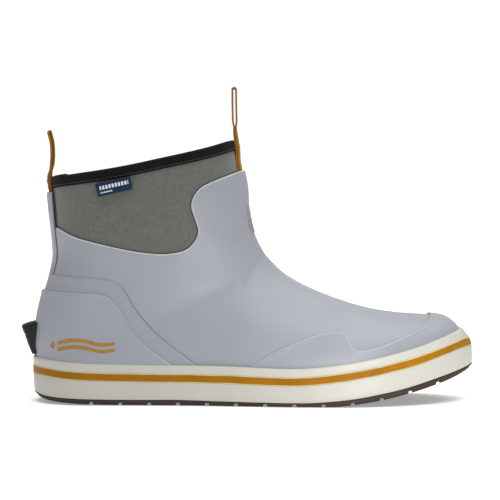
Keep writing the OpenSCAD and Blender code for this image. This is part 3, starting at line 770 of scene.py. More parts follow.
def make_binding():
    angles, at = collar_frame()
    out, inn = BINDING, -(NEOPRENE + LINING + GAP + 1.0)
    drop = BINDING_H - BINDING
    profile = [(drop + 0.35, 0.06), (drop + 0.3, 0.55), (drop + 0.05, 0.92), (drop - 0.5, out)]
    profile += [(s, out) for s in np.linspace(drop - 1.0, 1.2, 8)]
    mid, half = (out + inn) / 2, (out - inn) / 2
    for a in np.linspace(0.12, math.pi - 0.12, 15):
        profile.append((0.9 - (BINDING + 0.9) * math.sin(a) ** 0.8, mid + half * math.cos(a)))
    profile += [(s, inn) for s in np.linspace(1.2, drop - 0.4, 8)]
    profile += [(drop + 0.1, inn + 0.3), (drop + 0.2, inn + 0.9)]
    rings = []
    # the tape's two ends overlap at the back of the outer side
    lap = ease((angles - 146) / 2.0) * ease((166 - angles) / 1.4)
    for s, off in profile:
        p, n = at(max(s, 0.0))
        q = p + n * (off + (0.45 * lap * (off > 0.5)))[:, None]
        q[:, 2] += 0.9 * lap * ease((1.6 - s) / 1.6)
        if s < 0:
            q = q + np.array([0, 0, 1.0]) * (-s)
        rings.append(q)
    rings = np.array(rings)
    k, n = rings.shape[:2]
    pts = rings.reshape(-1, 3)
    faces = [(i * n + j, i * n + (j + 1) % n, (i + 1) % k * n + (j + 1) % n, (i + 1) % k * n + j)
             for i in range(k) for j in range(n)]
    step = np.linalg.norm(np.diff(rings, axis=0), axis=2).mean(1)
    across = np.concatenate([[0], np.cumsum(step)])
    along_u = lengths(rings[6])
    uv = np.stack([np.tile(along_u, k), np.repeat(across, n)], 1)
    build("collar_tape", pts, faces, MAT["binding"], replaces=["collar_binding"],
          slot="binding_tape", uv=uv, sharp=60)
    # its row of stitches, a little above the lower edge
    p, nrm = at(drop - 1.2)
    p = p + nrm * (out + 0.45 * lap[:, None])
    p, nrm = np.concatenate([p, p[:1]]), np.concatenate([nrm, nrm[:1]])
    s = lengths(p)
    count = int(s[-1] / 3.0)
    runs = []
    for k in range(count):
        u = (k + np.array([0.12, 0.2, 0.35, 0.65, 0.8, 0.88])) / count * s[-1]
        q = np.stack([np.interp(u, s, p[:, i]) for i in range(3)], 1)
        m = np.stack([np.interp(u, s, nrm[:, i]) for i in range(3)], 1)
        runs.append(q + m * np.array([-0.12, 0.04, 0.12, 0.12, 0.04, -0.12])[:, None])
    threads("collar_stitching", runs, 0.2, MAT["dark_thread"])


def thread(points, radius, sides=6):
    """A thin round thread through points: its points and faces."""
    points = np.asarray(points, float)
    n = len(points)
    d = np.gradient(points, axis=0)
    d /= np.linalg.norm(d, axis=1)[:, None]
    up = np.array([0.13, 0.21, 1.0])
    side = np.cross(d, up)
    side /= np.linalg.norm(side, axis=1)[:, None]
    other = np.cross(d, side)
    a = np.arange(sides) * 2 * math.pi / sides
    ring = (points[:, None] + radius * (np.cos(a)[None, :, None] * side[:, None]
            + np.sin(a)[None, :, None] * other[:, None])).reshape(-1, 3)
    faces = [(i * sides + j, i * sides + (j + 1) % sides, (i + 1) * sides + (j + 1) % sides,
              (i + 1) * sides + j) for i in range(n - 1) for j in range(sides)]
    faces += [tuple(range(sides - 1, -1, -1)), tuple((n - 1) * sides + j for j in range(sides))]
    return ring, faces


def threads(name, runs, radius, material, body="boot", replaces=(), slot="thread"):
    pts, faces, start = [], [], 0
    for r in runs:
        p, f = thread(r, radius)
        pts.append(p)
        faces += [tuple(i + start for i in q) for q in f]
        start += len(p)
    return build(name, np.concatenate(pts), faces, material, body, replaces, slot)


# ------------------------------------------------------------------ sole
def plan_curve():
    """Outline of the base surface from above: its points and outward normals."""
    a = np.linspace(0, math.pi / 2, 26)
    x = np.concatenate([HEEL_X + HEEL_ROUND * (1 - np.cos(a)),
                        np.linspace(HEEL_X + HEEL_ROUND, BALL_X, 60)[1:],
                        BALL_X + (TOE_X - BALL_X) * np.sin(a)[1:]])
    c, w = table(x, CENTRE_LINE), half_width(x)
    near = np.stack([x, c - w], 1)
    far = np.stack([x, c + w], 1)[::-1][1:-1]
    p = np.concatenate([near, far])
    e = np.roll(p, -1, 0) - np.roll(p, 1, 0)
    nrm = np.stack([e[:, 1], -e[:, 0]], 1) / np.linalg.norm(e, axis=1)[:, None]
    return p, nrm


TOE_LEAN = [[255, 0], [273, 0.6], [287.5, 1.9], [293, 3], [298, 4.4], [302, 6.1], [304, 7.1]]


def lean(x, z):
    return table(x, TOE_LEAN) * (np.maximum(z - 34, 0) / 14.4) ** 2


def ring_band(name, section, material, sharp=45, **extra):
    """A closed band round the sole; section(x) gives rows [offset, height] for every station."""
    p, nrm = plan_curve()
    x = p[:, 0] + SOLE_OUT * nrm[:, 0]
    sec = section(x)
    off = sec[..., 0] - lean(x[:, None], sec[..., 1])
    pts = np.concatenate([p[:, None, :] + off[..., None] * nrm[:, None, :], sec[..., 1:2]], 2)
    n, k = pts.shape[:2]
    idx = np.arange(n * k).reshape(n, k)
    a, b = idx, np.roll(idx, -1, 0)
    faces = np.stack([a, np.roll(a, -1, 1), np.roll(b, -1, 1), b], -1).reshape(-1, 4)
    along_u = lengths(p)
    v = sec[..., 2] if sec.shape[2] > 2 else sec[..., 1]
    uv = np.stack([np.repeat(along_u[:, None], k, 1), v], 2).reshape(-1, 2)
    return build(name, tucked(pts), faces, material, uv=uv, sharp=sharp, **extra)


def tucked(points):
    """The sole drawn in a little under the back of the heel."""
    out = np.array(points, float).reshape(-1, 3)
    x, z = points.reshape(-1, 3)[:, 0], points.reshape(-1, 3)[:, 2]
    out[:, 0] += 1.1 * ease((12 - x) / 12) * ease((14 - z) / 10)
    return out


def stack(x, rows):
    return np.stack([np.stack([np.broadcast_to(np.asarray(v, float), x.shape) for v in r], -1)
                     for r in rows], 1)


def make_sidewall():
    def wall(x):
        z0 = table(x, OUTSOLE_LINE) - 0.35
        z3 = table(x, FOXING_LINE)
        s1 = z3 - STRIPE_DOWN
        s0 = s1 - STRIPE_H
        rows = [(SHELL - 0.6, z0), (SOLE_OUT - 0.9, z0), (SOLE_OUT - 0.25, z0 + 0.25),
                (SOLE_OUT, z0 + 0.9), (SOLE_OUT + 0.05, z0 + 3),
                (SOLE_OUT, s0 - 0.45), (SOLE_OUT - 0.12, s0 - 0.12), (SOLE_OUT - 0.6, s0),
                (SOLE_OUT - 0.6, s1), (SOLE_OUT - 0.12, s1 + 0.12), (SOLE_OUT, s1 + 0.45)]
        rows += [(SOLE_OUT - 1.3 * (1 - math.cos(a)), z3 - 1.3 + 1.3 * math.sin(a))
                 for a in np.linspace(0.0, math.pi / 2, 6)]
        rows += [(SHELL - 1.5, z3 + 0.0), (SHELL - 2.5, z3 - 3), (SHELL - 0.6, z3 - 9)]
        return stack(x, rows)

    def gold(x):
        z3 = table(x, FOXING_LINE)
        s1 = z3 - STRIPE_DOWN
        mid, h = s1 - STRIPE_H / 2, STRIPE_H / 2
        rows = [(SOLE_OUT - 0.7, mid - h, -h)]
        rows += [(SOLE_OUT + d, mid + v, v) for d, v in
                 ((-0.25, -h), (0.02, -h + 0.2), (0.12, -h + 0.6), (0.14, -h / 2), (0.15, 0),
                  (0.14, h / 2), (0.12, h - 0.6), (0.02, h - 0.2), (-0.25, h))]
        rows += [(SOLE_OUT - 0.7, mid + h, h)]
        return stack(x, rows)

    ring_band("sidewall_band", wall, MAT["foxing"], replaces=["foxing"], slot="foxing_rubber")
    ring_band("sidewall_stripe", gold, MAT["stripe"], replaces=["foxing_stripe"],
              slot="stripe_rubber")


def make_outsole():
    """The tread as rows across the sole: channels, razor sipes and a stepped edge."""
    pitch, width, depth = 19.5, 2.2, 1.7
    first = 42.0
    marks = []
    x_lo, x_hi = HEEL_X - SOLE_OUT, TOE_X + SOLE_OUT
    channels = np.arange(first, 286, pitch)
    sipes = np.array([c + pitch * f for c in np.arange(first - pitch, 300, pitch)
                      for f in (0.25, 0.42, 0.58, 0.75)])
    sipes = sipes[(sipes > 12) & (sipes < 292)]
    for c in channels:
        marks += [c - width / 2 - 0.35, c - width / 2, c + width / 2, c + width / 2 + 0.35]
    for c in sipes:
        marks += [c - 0.4, c - 0.22, c + 0.22, c + 0.4]
    ends = np.concatenate([x_lo + 41 * (1 - np.cos(np.linspace(0, math.pi / 2, 22))),
                           BALL_X + (x_hi - BALL_X) * np.sin(np.linspace(0, math.pi / 2, 40))])
    x = np.unique(np.round(np.concatenate([ends, np.arange(x_lo, x_hi, 3.0), marks]), 2))
    x = x[(x >= x_lo) & (x <= x_hi - 0.001)]
    p, nrm = plan_curve()

    def halves(off):
        q = p + off * nrm
        near, far = q[:len(q) // 2 + 1], np.concatenate([q[:1], q[len(q) // 2:][::-1]])
        return np.interp(x, near[:, 0], near[:, 1]), np.interp(x, far[:, 0], far[:, 1])

    s = np.linspace(-1, 1, 41)
    zb, zt = table(x, SOLE_LINE), table(x, OUTSOLE_LINE) - 0.6
    lo, hi = halves(SOLE_OUT - 0.02)
    li, hj = halves(SOLE_OUT - 1.6)
    cut = np.zeros(len(x))
    for c in channels:
        cut = np.maximum(cut, depth * np.clip(1 - (np.abs(x - c) - width / 2) / 0.35, 0, 1))
    fine = np.zeros(len(x))
    for c in sipes:
        fine = np.maximum(fine, 0.9 * np.clip((0.4 - np.abs(x - c)) / 0.18, 0, 1))
    rows = []
    for i in range(len(x)):
        c, w = (li[i] + hj[i]) / 2, (hj[i] - li[i]) / 2
        y = c + w * s
        inner = np.clip((0.82 - np.abs(s)) / 0.04, 0, 1)
        z = zb[i] + cut[i] + fine[i] * inner * (cut[i] == 0)
        z = np.minimum(z, zt[i] - 0.4)
        under = np.stack([np.full(41, x[i]), y, z], 1)
        zs = min(zb[i] + 1.3 + 0.4 * (cut[i] > 0), zt[i] - 0.2)
        left = [[x[i], lo[i], zt[i]], [x[i], lo[i], zs + 0.3], [x[i], lo[i] + 0.3, zs],
                [x[i], li[i], zs]]
        right = [[x[i], hj[i], zs], [x[i], hi[i] - 0.3, zs], [x[i], hi[i], zs + 0.3],
                 [x[i], hi[i], zt[i]]]
        rows.append(np.concatenate([left, under, right]))
    rows = np.array(rows)
    build("tread_sole", tucked(rows), tube_faces(*rows.shape[:2]), MAT["outsole"],
          replaces=["outsole"],
          slot="outsole_rubber", sharp=30)


# ------------------------------------------------------------------ webbing pull loops
def surface_x(z, y, front):
    """x of the base surface at heights z (rows) and places y (columns), in front or behind."""
    a = np.linspace(-80, 80, 161) + (0 if front else 180)
    t = np.linspace(0, 4, 500)
    p = base(t[:, None], a[None, :])
    xs = np.array([np.interp(z, p[::-1, j, 2], p[::-1, j, 0]) for j in range(len(a))]).T
    ys = np.array([np.interp(z, p[::-1, j, 2], p[::-1, j, 1]) for j in range(len(a))]).T
    out = np.zeros((len(z), len(y)))
    for i in range(len(z)):
        order = np.argsort(ys[i])
        out[i] = np.interp(y, ys[i][order], xs[i][order])
    return out


LOOPS = {True: dict(y=FRONT_Y, path=[[138.6, 188], [138.35, 194], [138.15, 204], [138.1, 212.9]],
                    low=146.0, step=171.4, flat=(180, 189), top=184.5, sign=1.0),
         False: dict(y=0.0, path=[[12.3, 160], [12.95, 165], [13.1, 170], [12.65, 177],
                                  [10.9, 184.0]],
                     low=134.0, step=146.2, flat=(151, 161), top=154.5, sign=-1.0)}


def loop_line(front):
    """The centre line of the doubled webbing, from its sewn end up to the turn of the loop."""
    c = LOOPS[front]
    z = np.arange(c["low"], c["top"], 1.0)
    x0 = surface_x(z, np.array([c["y"]]), front)[:, 0]
    step = 1.16 * ease((z - c["step"] + 9) / 11)
    x = x0 + c["sign"] * (step + 0.06 + WEB)
    low = np.stack([x, z], 1)
    whole = np.concatenate([low, c["path"]])
    whole = curve(whole, 6)
    s = lengths(whole)
    k = np.linspace(0, s[-1], int(s[-1] / 0.7))
    line = np.stack([np.interp(k, s, whole[:, 0]), np.interp(k, s, whole[:, 1])], 1)
    for _ in range(3):
        line[1:-1] = (line[:-2] + 2 * line[1:-1] + line[2:]) / 4
    return line


def ribbon_mesh(line, widths, thick, y0, bend_of, columns=13):
    """A webbing strip along an x-z line; bend_of(z, y) moves x across the strip."""
    _, nrm = line_frame(line)
    h = thick / 2
    v = np.linspace(-1, 1, columns) * (1 - 0.35 / (widths / 2))
    prof = [(a, h * (1 + 0.12 * (abs(a) > 0.86))) for a in v]
    edge = widths / 2
    prof = [(a * edge, b) for a, b in prof]
    prof += [(edge - 0.05, h * 0.6), (edge, 0), (edge - 0.05, -h * 0.6)]
    prof += [(a, -b) for a, b in prof[:columns][::-1]]
    prof += [(-edge + 0.05, -h * 0.6), (-edge, 0), (-edge + 0.05, h * 0.6)]
    prof = np.array(prof)
    n, k = len(line), len(prof)
    x = line[:, None, 0] + nrm[:, None, 0] * prof[None, :, 1]
    z = line[:, None, 1] + nrm[:, None, 1] * prof[None, :, 1]
    y = np.broadcast_to(prof[None, :, 0], x.shape)
    x = x + bend_of(line[:, 1], prof[:, 0] + y0)
    pts = np.stack([x, y + y0, z], 2).reshape(-1, 3)
    uv = np.stack([np.repeat(lengths(line), k), np.tile(prof[:, 0], n)], 1)
    return pts, tube_faces(n, k, flip=True), uv


def bend(front):
    c = LOOPS[front]

    def of(z, y):
        zz = np.minimum(z, c["top"] + 3)
        x = surface_x(zz, np.append(y, c["y"]), front)
        f = 1 - ease((z - c["flat"][0]) / (c["flat"][1] - c["flat"][0]))
        turn = 0 if front else -0.13
        return (x[:, :-1] - x[:, -1:]) * f[:, None] + turn * (1 - f)[:, None] * (y - c["y"])
    return of


def make_loop(front, name, replaces, body, joint_z):
    c = LOOPS[front]
    line = loop_line(front)
    d, nrm = line_frame(line)
    open_up = ease((line[:, 1] - joint_z - 0.5) / 5.0)
    gap = WEB / 2 + 0.02 + (0.72 if front else 0.2) * open_up
    left = line + nrm * gap[:, None]
    right = line - nrm * gap[:, None]
    a = np.linspace(0, math.pi, 13)[1:-1]
    e, en, eg = line[-1], nrm[-1], gap[-1]
    turn = e + eg * (np.cos(a)[:, None] * en + np.sin(a)[:, None] * d[-1])
    ribbon = np.concatenate([left, turn, right[::-1]])
    pts, faces, uv = ribbon_mesh(ribbon, WEB_W, WEB, c["y"], bend(front))
    y = c["y"]
    x0 = float(line[np.argmin(np.abs(line[:, 1] - joint_z)), 0])
    build(name, pts, faces, MAT["webbing"], replaces=replaces, slot="webbing", uv=uv, sharp=60,
          blend=("boot", body, tuple(row([x0, y, joint_z - 3]).tolist()),
                 tuple(row([x0, y, joint_z + 2.5]).tolist())))


def on_strip(front, places):
    """Points [x, y, z] on a loop's sewn strip, from places (y, z, distance out)."""
    f, line, sign = bend(front), loop_line(front), LOOPS[front]["sign"]
    pts = []
    for y, z, out in places:
        x = line[np.argmin(np.abs(line[:, 1] - z)), 0] + sign * out
        pts.append([x + float(f(np.array([z]), np.array([y]))[0, 0]), y, z])
    return np.array(pts)


def bar_tack(front, z_mid):
    """One thread going to and fro across the strip."""
    width, height, pitch = 15, 2.0, 0.55
    k = np.arange(int(width / pitch) + 1)
    y = LOOPS[front]["y"] - width / 2 + k * pitch
    z = z_mid + height / 2 * np.where(k % 2, 1, -1)
    return on_strip(front, [(a, b, WEB + 0.16) for a, b in zip(y, z)])


def make_tacks():
    runs = [bar_tack(True, 175.0), bar_tack(True, 160.8), bar_tack(False, 150.4)]
    for side in (-7.4, 7.4):
        z = np.arange(162.4, 173.6, 0.7)
        runs.append(on_strip(True, [(FRONT_Y + side, v, WEB + 0.05 + 0.13 * (k % 4 != 0))
                                    for k, v in enumerate(z)]))
    threads("loop_stitching", runs, 0.26, MAT["thread"], replaces=["loop_bartacks"])


# ------------------------------------------------------------------ small parts
LABEL_W, LABEL_H = 24.0, 8.8
PIVOT, TILT = np.array([57, -44.1, 151.0]), math.radians(12.7)


def make_label():
    """A woven label folded double, sewn along its upper edge."""
    down, fold = 13, 7    # points down each face, and round the fold
    prof = [(v, 0.44) for v in np.linspace(0.2, -LABEL_H + 0.5, down)]
    prof += [(-LABEL_H + 0.44 - 0.44 * math.sin(a), 0.44 * math.cos(a))
             for a in np.linspace(0.3, math.pi - 0.3, fold)]
    prof += [(v, -0.44) for v in np.linspace(-LABEL_H + 0.5, 0.2, down)]
    prof += [(v, -0.06) for v in np.linspace(0.2, -LABEL_H + 0.9, down)]
    prof += [(-LABEL_H + 0.8, 0.0)]
    prof += [(v, 0.06) for v in np.linspace(-LABEL_H + 0.9, 0.2, down)]
    prof = np.array(prof)
    u = np.linspace(-LABEL_W / 2, LABEL_W / 2, 41)
    k, n = len(prof), len(u)
    uu = np.repeat(u, k)
    v, d = np.tile(prof[:, 0], n), np.tile(prof[:, 1], n)
    drop = -v / LABEL_H
    wave = 0.16 * np.sin(uu * 0.42 + 0.6) * drop ** 2 + 0.22 * drop ** 2 * np.cos(uu * 0.16)
    y = -(d + wave)
    x = uu * math.cos(TILT) - v * math.sin(TILT)
    z = uu * math.sin(TILT) + v * math.cos(TILT)
    pts = np.stack([x, y, z], 1) + PIVOT
    idx = np.arange(n * k).reshape(n, k)
    faces = tube_faces(n, k)[:-2]
    # a strip of faces closes each end, between the two layers
    for ring, flip in ((idx[0], False), (idx[-1], True)):
        outer, inner = ring[:2 * down + fold], ring[2 * down + fold:][::-1]
        strip = []
        o_n, i_n = len(outer), len(inner)
        i = j = 0
        while i < o_n - 1 or j < i_n - 1:
            if j >= i_n - 1 or (i < o_n - 1 and (i + 1) * (i_n - 1) <= (j + 1) * (o_n - 1)):
                strip.append((outer[i], outer[i + 1], inner[j]))
                i += 1
            else:
                strip.append((outer[i], inner[j + 1], inner[j]))
                j += 1
        faces += [tuple(int(w) for w in (f[::-1] if flip else f)) for f in strip]
    uv = np.stack([uu, v], 1)
    o = build("side_label_woven", pts, faces, MAT["label"], body="label", replaces=["side_label"],
              slot="label_weave", uv=uv, sharp=60)


def make_kick_tab():
    outer = np.array([[-1.4, 32.0], [-4.0, 38.2], [-6.5, 45.0], [-8.2, 49.6], [-8.45, 50.7],
                      [-7.7, 51.9], [-5.0, 53.0], [-2.0, 53.9], [2.0, 54.1]])
    c = curve(outer, 8)
    s = np.linspace(-1, 1, 49)
    rows = []
    for k in s:
        round_in = (1 - abs(k) ** 14) ** (1 / 6)
        r = []
        for x, z in c:
            half = 15 - 3 * ease((48 - z) / 14)
            y = k * half
            back = 42.6 - math.sqrt(42.6 ** 2 - y * y)
            inner = 1.2 + 0.06 * max(0, 40 - z)
            groove = (0.35 * math.exp(-((z - 45.4) / 0.7) ** 2)
                      + 0.3 * math.exp(-((z - 41.6) / 0.7) ** 2))
            r.append([inner + (min(x + groove, inner) - inner) * round_in + back, y, z])
        z_lo, z_hi = c[0][1], c[-1][1]
        inner = [[4.5 + 42.6 - math.sqrt(42.6 ** 2 - (k * 15) ** 2), k * 14.9, z]
                 for z in (z_hi - 0.3, z_lo + 0.3)]
        rows.append(r + inner)
    rows = np.array(rows)
    build("heel_kick_tab", rows.reshape(-1, 3), tube_faces(*rows.shape[:2]), MAT["tab"],
          replaces=["kick_tab"], slot="tab_rubber", sharp=40)


def wave_bar(s):
    top = curve([[19, 38.1 + s], [29, 40.3 + s], [38, 39.7 + s], [48, 37.3 + s], [58, 37.9 + s]], 8)
    low = curve([[58, 35.7 + s], [48, 34.9 + s], [38, 37.1 + s], [29, 37.7 + s], [19, 35.5 + s]], 8)
    return np.concatenate([top, low])


def make_emblem():
    fine = Skin(step=0.55, around=640, t0=6.2, t1=8.6)
    p = fine.P + fine.N * (SHELL + COUNTER + CUP)
    x, z = p[:, 0], p[:, 2]
    field = np.maximum(signed_distance(x, z, wave_bar(0)), signed_distance(x, z, wave_bar(4.4)))
    gem = np.array([[13.4, 39.4], [15.6, 42.6], [17.8, 39.8], [15.6, 36.8]])
    field = np.maximum(field, signed_distance(x, z, gem))
    field = np.where((fine.P[:, 1] < -3) & (x < 60), field, -9)
    fine.add("mark", field)
    fine.clip("mark", 0).split("mark", 0.12, 0.3)
    h = SHELL + COUNTER + CUP + 0.02 + rounded(fine.get("mark"), 0.16, 0.14)
    build("heel_wave_print", *closed(fine, h, SHELL + COUNTER + CUP - 0.2), MAT["emblem"],
          replaces=["heel_emblem"], slot="emblem_ink", sharp=50)


# ------------------------------------------------------------------ inside
def node_section(name, xs):
    """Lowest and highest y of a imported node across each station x, in boot millimetres."""
    mesh = bpy.data.objects[name].data
    v = np.zeros(len(mesh.vertices) * 3)
    mesh.vertices.foreach_get("co", v)
    v = v.reshape(-1, 3) * 1000 - ORIGIN
    e = np.zeros(len(mesh.edges) * 2, int)
    mesh.edges.foreach_get("vertices", e)
    a, b = v[e.reshape(-1, 2)[:, 0]], v[e.reshape(-1, 2)[:, 1]]
    out = []
    for x in xs:
        hit = (a[:, 0] - x) * (b[:, 0] - x) < 0
        u = (x - a[hit, 0]) / (b[hit, 0] - a[hit, 0])
        y = a[hit, 1] + u * (b[hit, 1] - a[hit, 1])
        out.append([y.min(), y.max()] if len(y) else [np.nan, np.nan])
    return np.array(out)


def pad(name, node, x0, x1, low, thick, material, slot):
    """A foam pad between stations x0 and x1, with soft edges."""
    a = np.linspace(0, math.pi / 2, 20)
    ends = [x0 + 14 * (1 - np.cos(a)), np.arange(x0 + 14, x1 - 26, 4.0), x1 - 26 + 26 * np.sin(a)]
    x = np.unique(np.round(np.concatenate(ends), 3))
    x[0], x[-1] = x0 + 0.05, x1 - 0.05
    y = node_section(node, x)
    good = ~np.isnan(y[:, 0])
    y = np.stack([np.interp(x, x[good], y[good, k]) for k in (0, 1)], 1)
    end = np.clip(np.minimum((x - x0) / 9, (x1 - x) / 16), 0, 1)
    end = np.sqrt(1 - (1 - end) ** 2)
    mid, half = y.mean(1), (y[:, 1] - y[:, 0]) / 2 * np.maximum(end, 0.08) * 0.992
    floor = table(x, [[r[0], r[1] + low] for r in BACK[8:].tolist()])
    edge = 1.0 / np.maximum(half, 2)
    rows = []
    for i in range(len(x)):
        top_s = np.concatenate([[-1, -1 + 0.15 * edge[i], -1 + 0.5 * edge[i], -1 + edge[i]],
                                np.linspace(-1 + 1.6 * edge[i], 1 - 1.6 * edge[i], 27),
                                [1 - edge[i], 1 - 0.5 * edge[i], 1 - 0.15 * edge[i], 1]])
        drop = np.array([0.75, 0.35, 0.08, 0] + [0] * 27 + [0, 0.08, 0.35, 0.75]) * min(1, thick)
        top = np.stack([np.full(35, x[i]), mid[i] + half[i] * top_s, floor[i] + thick - drop], 1)
        bs = np.linspace(0.995, -0.995, 17)
        bot = np.stack([np.full(17, x[i]), mid[i] + half[i] * bs, np.full(17, floor[i])], 1)
        rows.append(np.concatenate([top, bot]))
    rows = np.array(rows)
    return build(name, rows.reshape(-1, 3), tube_faces(*rows.shape[:2], flip=True), material,
                 body="footbed", replaces=[node], slot=slot, sharp=50)


def paint(node, material):
    o = bpy.data.objects[node]
    if not o.material_slots:
        o.data.materials.append(material)
    for s in o.material_slots:
        s.material = material


# ------------------------------------------------------------------ more materials
def web_material():
    return fabric_tape("webbing", (0.29, 0.125, 0.010), 1.15, 0.85, 0.00025, 0.12).mat


def binding_material():
    return fabric_tape("binding_tape", (0.007, 0.007, 0.008), 0.8, 0.9, 0.00018, 0.1).mat


def thread_material():
    m = Maker("thread", (0.52, 0.30, 0.085), 0.6)
    w = m.node("ShaderNodeTexWave", {"Vector": m.coords, "Scale": 900.0, "Distortion": 1.0},
               bands_direction="DIAGONAL").outputs[1]
    m.set("Base Color", m.ramp(w, [(0.1, (0.30, 0.16, 0.04)), (0.9, (0.62, 0.37, 0.11))]))
    m.bump(w, 0.00006, 0.6)
    return m.mat


def dark_thread_material():
    m = Maker("dark_thread", (0.02, 0.02, 0.022), 0.7)
    n = m.noise(900, 2, 0.5)
    m.set("Base Color", m.ramp(n, [(0.3, (0.012, 0.012, 0.013)), (0.7, (0.05, 0.05, 0.052))]))
    m.bump(n, 0.00004, 0.5)
    return m.mat


def seam_material():
    m = Maker("seam_bead", (0.03, 0.031, 0.033), 0.7)
    n = m.noise(500, 3, 0.6)
    m.set("Base Color", m.ramp(n, [(0.3, (0.022, 0.023, 0.024)), (0.7, (0.05, 0.051, 0.05))]))
    m.bump(n, 0.0001, 0.5)
    return m.mat


def groove_shadow_material():
    # dark colour for the painted shadow strip at the heel counter
    return rubber("painted_groove_shadow", (0.10, 0.104, 0.118), 0.6, 0.05).mat


def label_material():
    navy, white = (0.004, 0.017, 0.046), (0.66, 0.68, 0.70)
    m = Maker("label_weave", navy, 0.75)
    uv = m.node("ShaderNodeUVMap", uv_map="span").outputs[0]
    sep = m.node("ShaderNodeSeparateXYZ", {0: uv})
    u, v = sep.outputs[0], sep.outputs[1]
    k = 2 * math.pi / 0.42
    weave = m.maths("MULTIPLY", m.maths("SINE", m.maths("MULTIPLY", u, k)),
                    m.maths("SINE", m.maths("MULTIPLY", v, k)))
    w01 = m.grey(weave, -1, 1, 0, 1)
    base_tone = m.ramp(w01, [(0.1, scaled(navy, 0.7)), (0.9, scaled(navy, 1.5))])
    # plain dashes of uneven length, in one long row and one short row: no letters

    def row_of(centre, half, pitch, duty, u0, u1):
        inside = m.maths("LESS_THAN", m.maths("ABSOLUTE", m.maths("SUBTRACT", v, centre)), half)
        cell = m.maths("FRACT", m.maths("MULTIPLY", m.maths("ADD", u, 40.0), 1 / pitch))
        on = m.maths("LESS_THAN", cell, duty)
        left = m.maths("GREATER_THAN", u, u0)
        right = m.maths("LESS_THAN", u, u1)
        return m.maths("MULTIPLY", m.maths("MULTIPLY", inside, on),
                       m.maths("MULTIPLY", left, right))

    marks = m.maths("MAXIMUM", row_of(-3.4, 1.25, 2.15, 0.66, -9.6, 10.0),
                    row_of(-6.6, 0.45, 1.25, 0.7, -9.6, -1.6))
    rough = m.grey(m.noise(700, 2, 0.5), 0.3, 0.7, 0.75, 1.0)
    m.set("Base Color", m.mix(m.maths("MULTIPLY", marks, rough), base_tone, white))
    m.set("Sheen Weight", 0.05)
    m.set("Specular IOR Level", 0.2)
    m.bump(w01, 0.00008, 0.7)
    return m.mat


def emblem_material():
    m = Maker("emblem_ink", (0.31, 0.15, 0.02), 0.5)
    n = m.noise(300, 4, 0.6)
    m.set("Base Color", m.ramp(n, [(0.3, (0.27, 0.13, 0.012)), (0.7, (0.35, 0.175, 0.025))]))
    m.set("Specular IOR Level", 0.3)
    m.bump(m.noise(900, 2, 0.5), 0.00003, 0.4)
    return m.mat


def tab_material():
    m = rubber("tab_rubber", (0.010, 0.010, 0.011), 0.6, 0.15, 0.03)
    m.set("Specular IOR Level", 0.25)
    return m.mat


def badge_material():
    return rubber("badge_rubber", (0.19, 0.197, 0.216), 0.42, 0.05, 0.02).mat


def lining_material():
    c = (0.052, 0.054, 0.058)
    m = Maker("lining_mesh", c, 0.9)
    cell = m.node("ShaderNodeTexVoronoi", {"Vector": m.coords, "Scale": 520.0, "Randomness": 0.15},
                  feature="F1").outputs["Distance"]
    hole = m.grey(cell, 0.18, 0.34, 1.0, 0.0)
    tone = m.ramp(m.noise(300, 3, 0.6), [(0.3, scaled(c, 0.8)), (0.7, scaled(c, 1.3))])
    m.set("Base Color", m.mix(hole, tone, scaled(c, 0.3)))
    m.set("Sheen Weight", 0.3)
    m.bump(m.maths("SUBTRACT", 1.0, hole), 0.0003, 0.7)
    return m.mat


def cover_material():
    c = (0.075, 0.078, 0.085)
    m = Maker("cover_fabric", c, 0.85)
    cell = m.node("ShaderNodeTexVoronoi", {"Vector": m.node("ShaderNodeMapping", {
        "Vector": m.coords, "Scale": (1.0, 1.0, 0.02)}).outputs[0], "Scale": 150.0,
        "Randomness": 0.0}).outputs["Distance"]
    hole = m.grey(cell, 0.16, 0.22, 1.0, 0.0)
    knit = m.node("ShaderNodeTexVoronoi", {"Vector": m.coords, "Scale": 900.0,
                                           "Randomness": 0.4}).outputs["Distance"]
    tone = m.ramp(m.noise(380, 4, 0.6), [(0.3, scaled(c, 0.75)), (0.7, scaled(c, 1.3))])
    m.set("Base Color", m.mix(hole, tone, (0.01, 0.01, 0.011)))
    m.set("Sheen Weight", 0.25)
    b = m.bump(m.maths("SUBTRACT", 1.0, hole), 0.0004, 0.8)
    m.bump(knit, 0.00012, 0.6, b)
    return m.mat


def foam_material(name, c, scale=700):
    m = Maker(name, c, 0.9)
    cell = m.node("ShaderNodeTexVoronoi",
                  {"Vector": m.coords, "Scale": float(scale)}).outputs["Distance"]
    m.set("Base Color", m.mix(m.grey(cell, 0.1, 0.6, 0.35, 0.0), m.ramp(
        m.noise(60, 3, 0.6), [(0.3, scaled(c, 0.9)), (0.7, scaled(c, 1.1))]), scaled(c, 0.6)))
    m.bump(cell, 0.0002, 0.6)
    return m.mat


def board_material():
    c = (0.42, 0.33, 0.19)
    m = Maker("board", c, 0.85)
    n = m.noise(900, 4, 0.7, stretch=(0.15, 1, 1))
    m.set("Base Color", m.ramp(n, [(0.3, scaled(c, 0.8)), (0.7, scaled(c, 1.15))]))
    m.bump(n, 0.00008, 0.5)
    return m.mat


def steel_material():
    m = Maker("shank_steel", (0.5, 0.51, 0.53), 0.35)
    n = m.noise(200, 4, 0.6, stretch=(0.05, 1, 1))
    m.set("Base Color", m.ramp(n, [(0.3, (0.44, 0.45, 0.47)), (0.7, (0.58, 0.59, 0.6))]))
    m.set("Metallic", 1.0)
    m.set("Roughness", m.grey(n, 0.3, 0.7, 0.3, 0.45))
    return m.mat


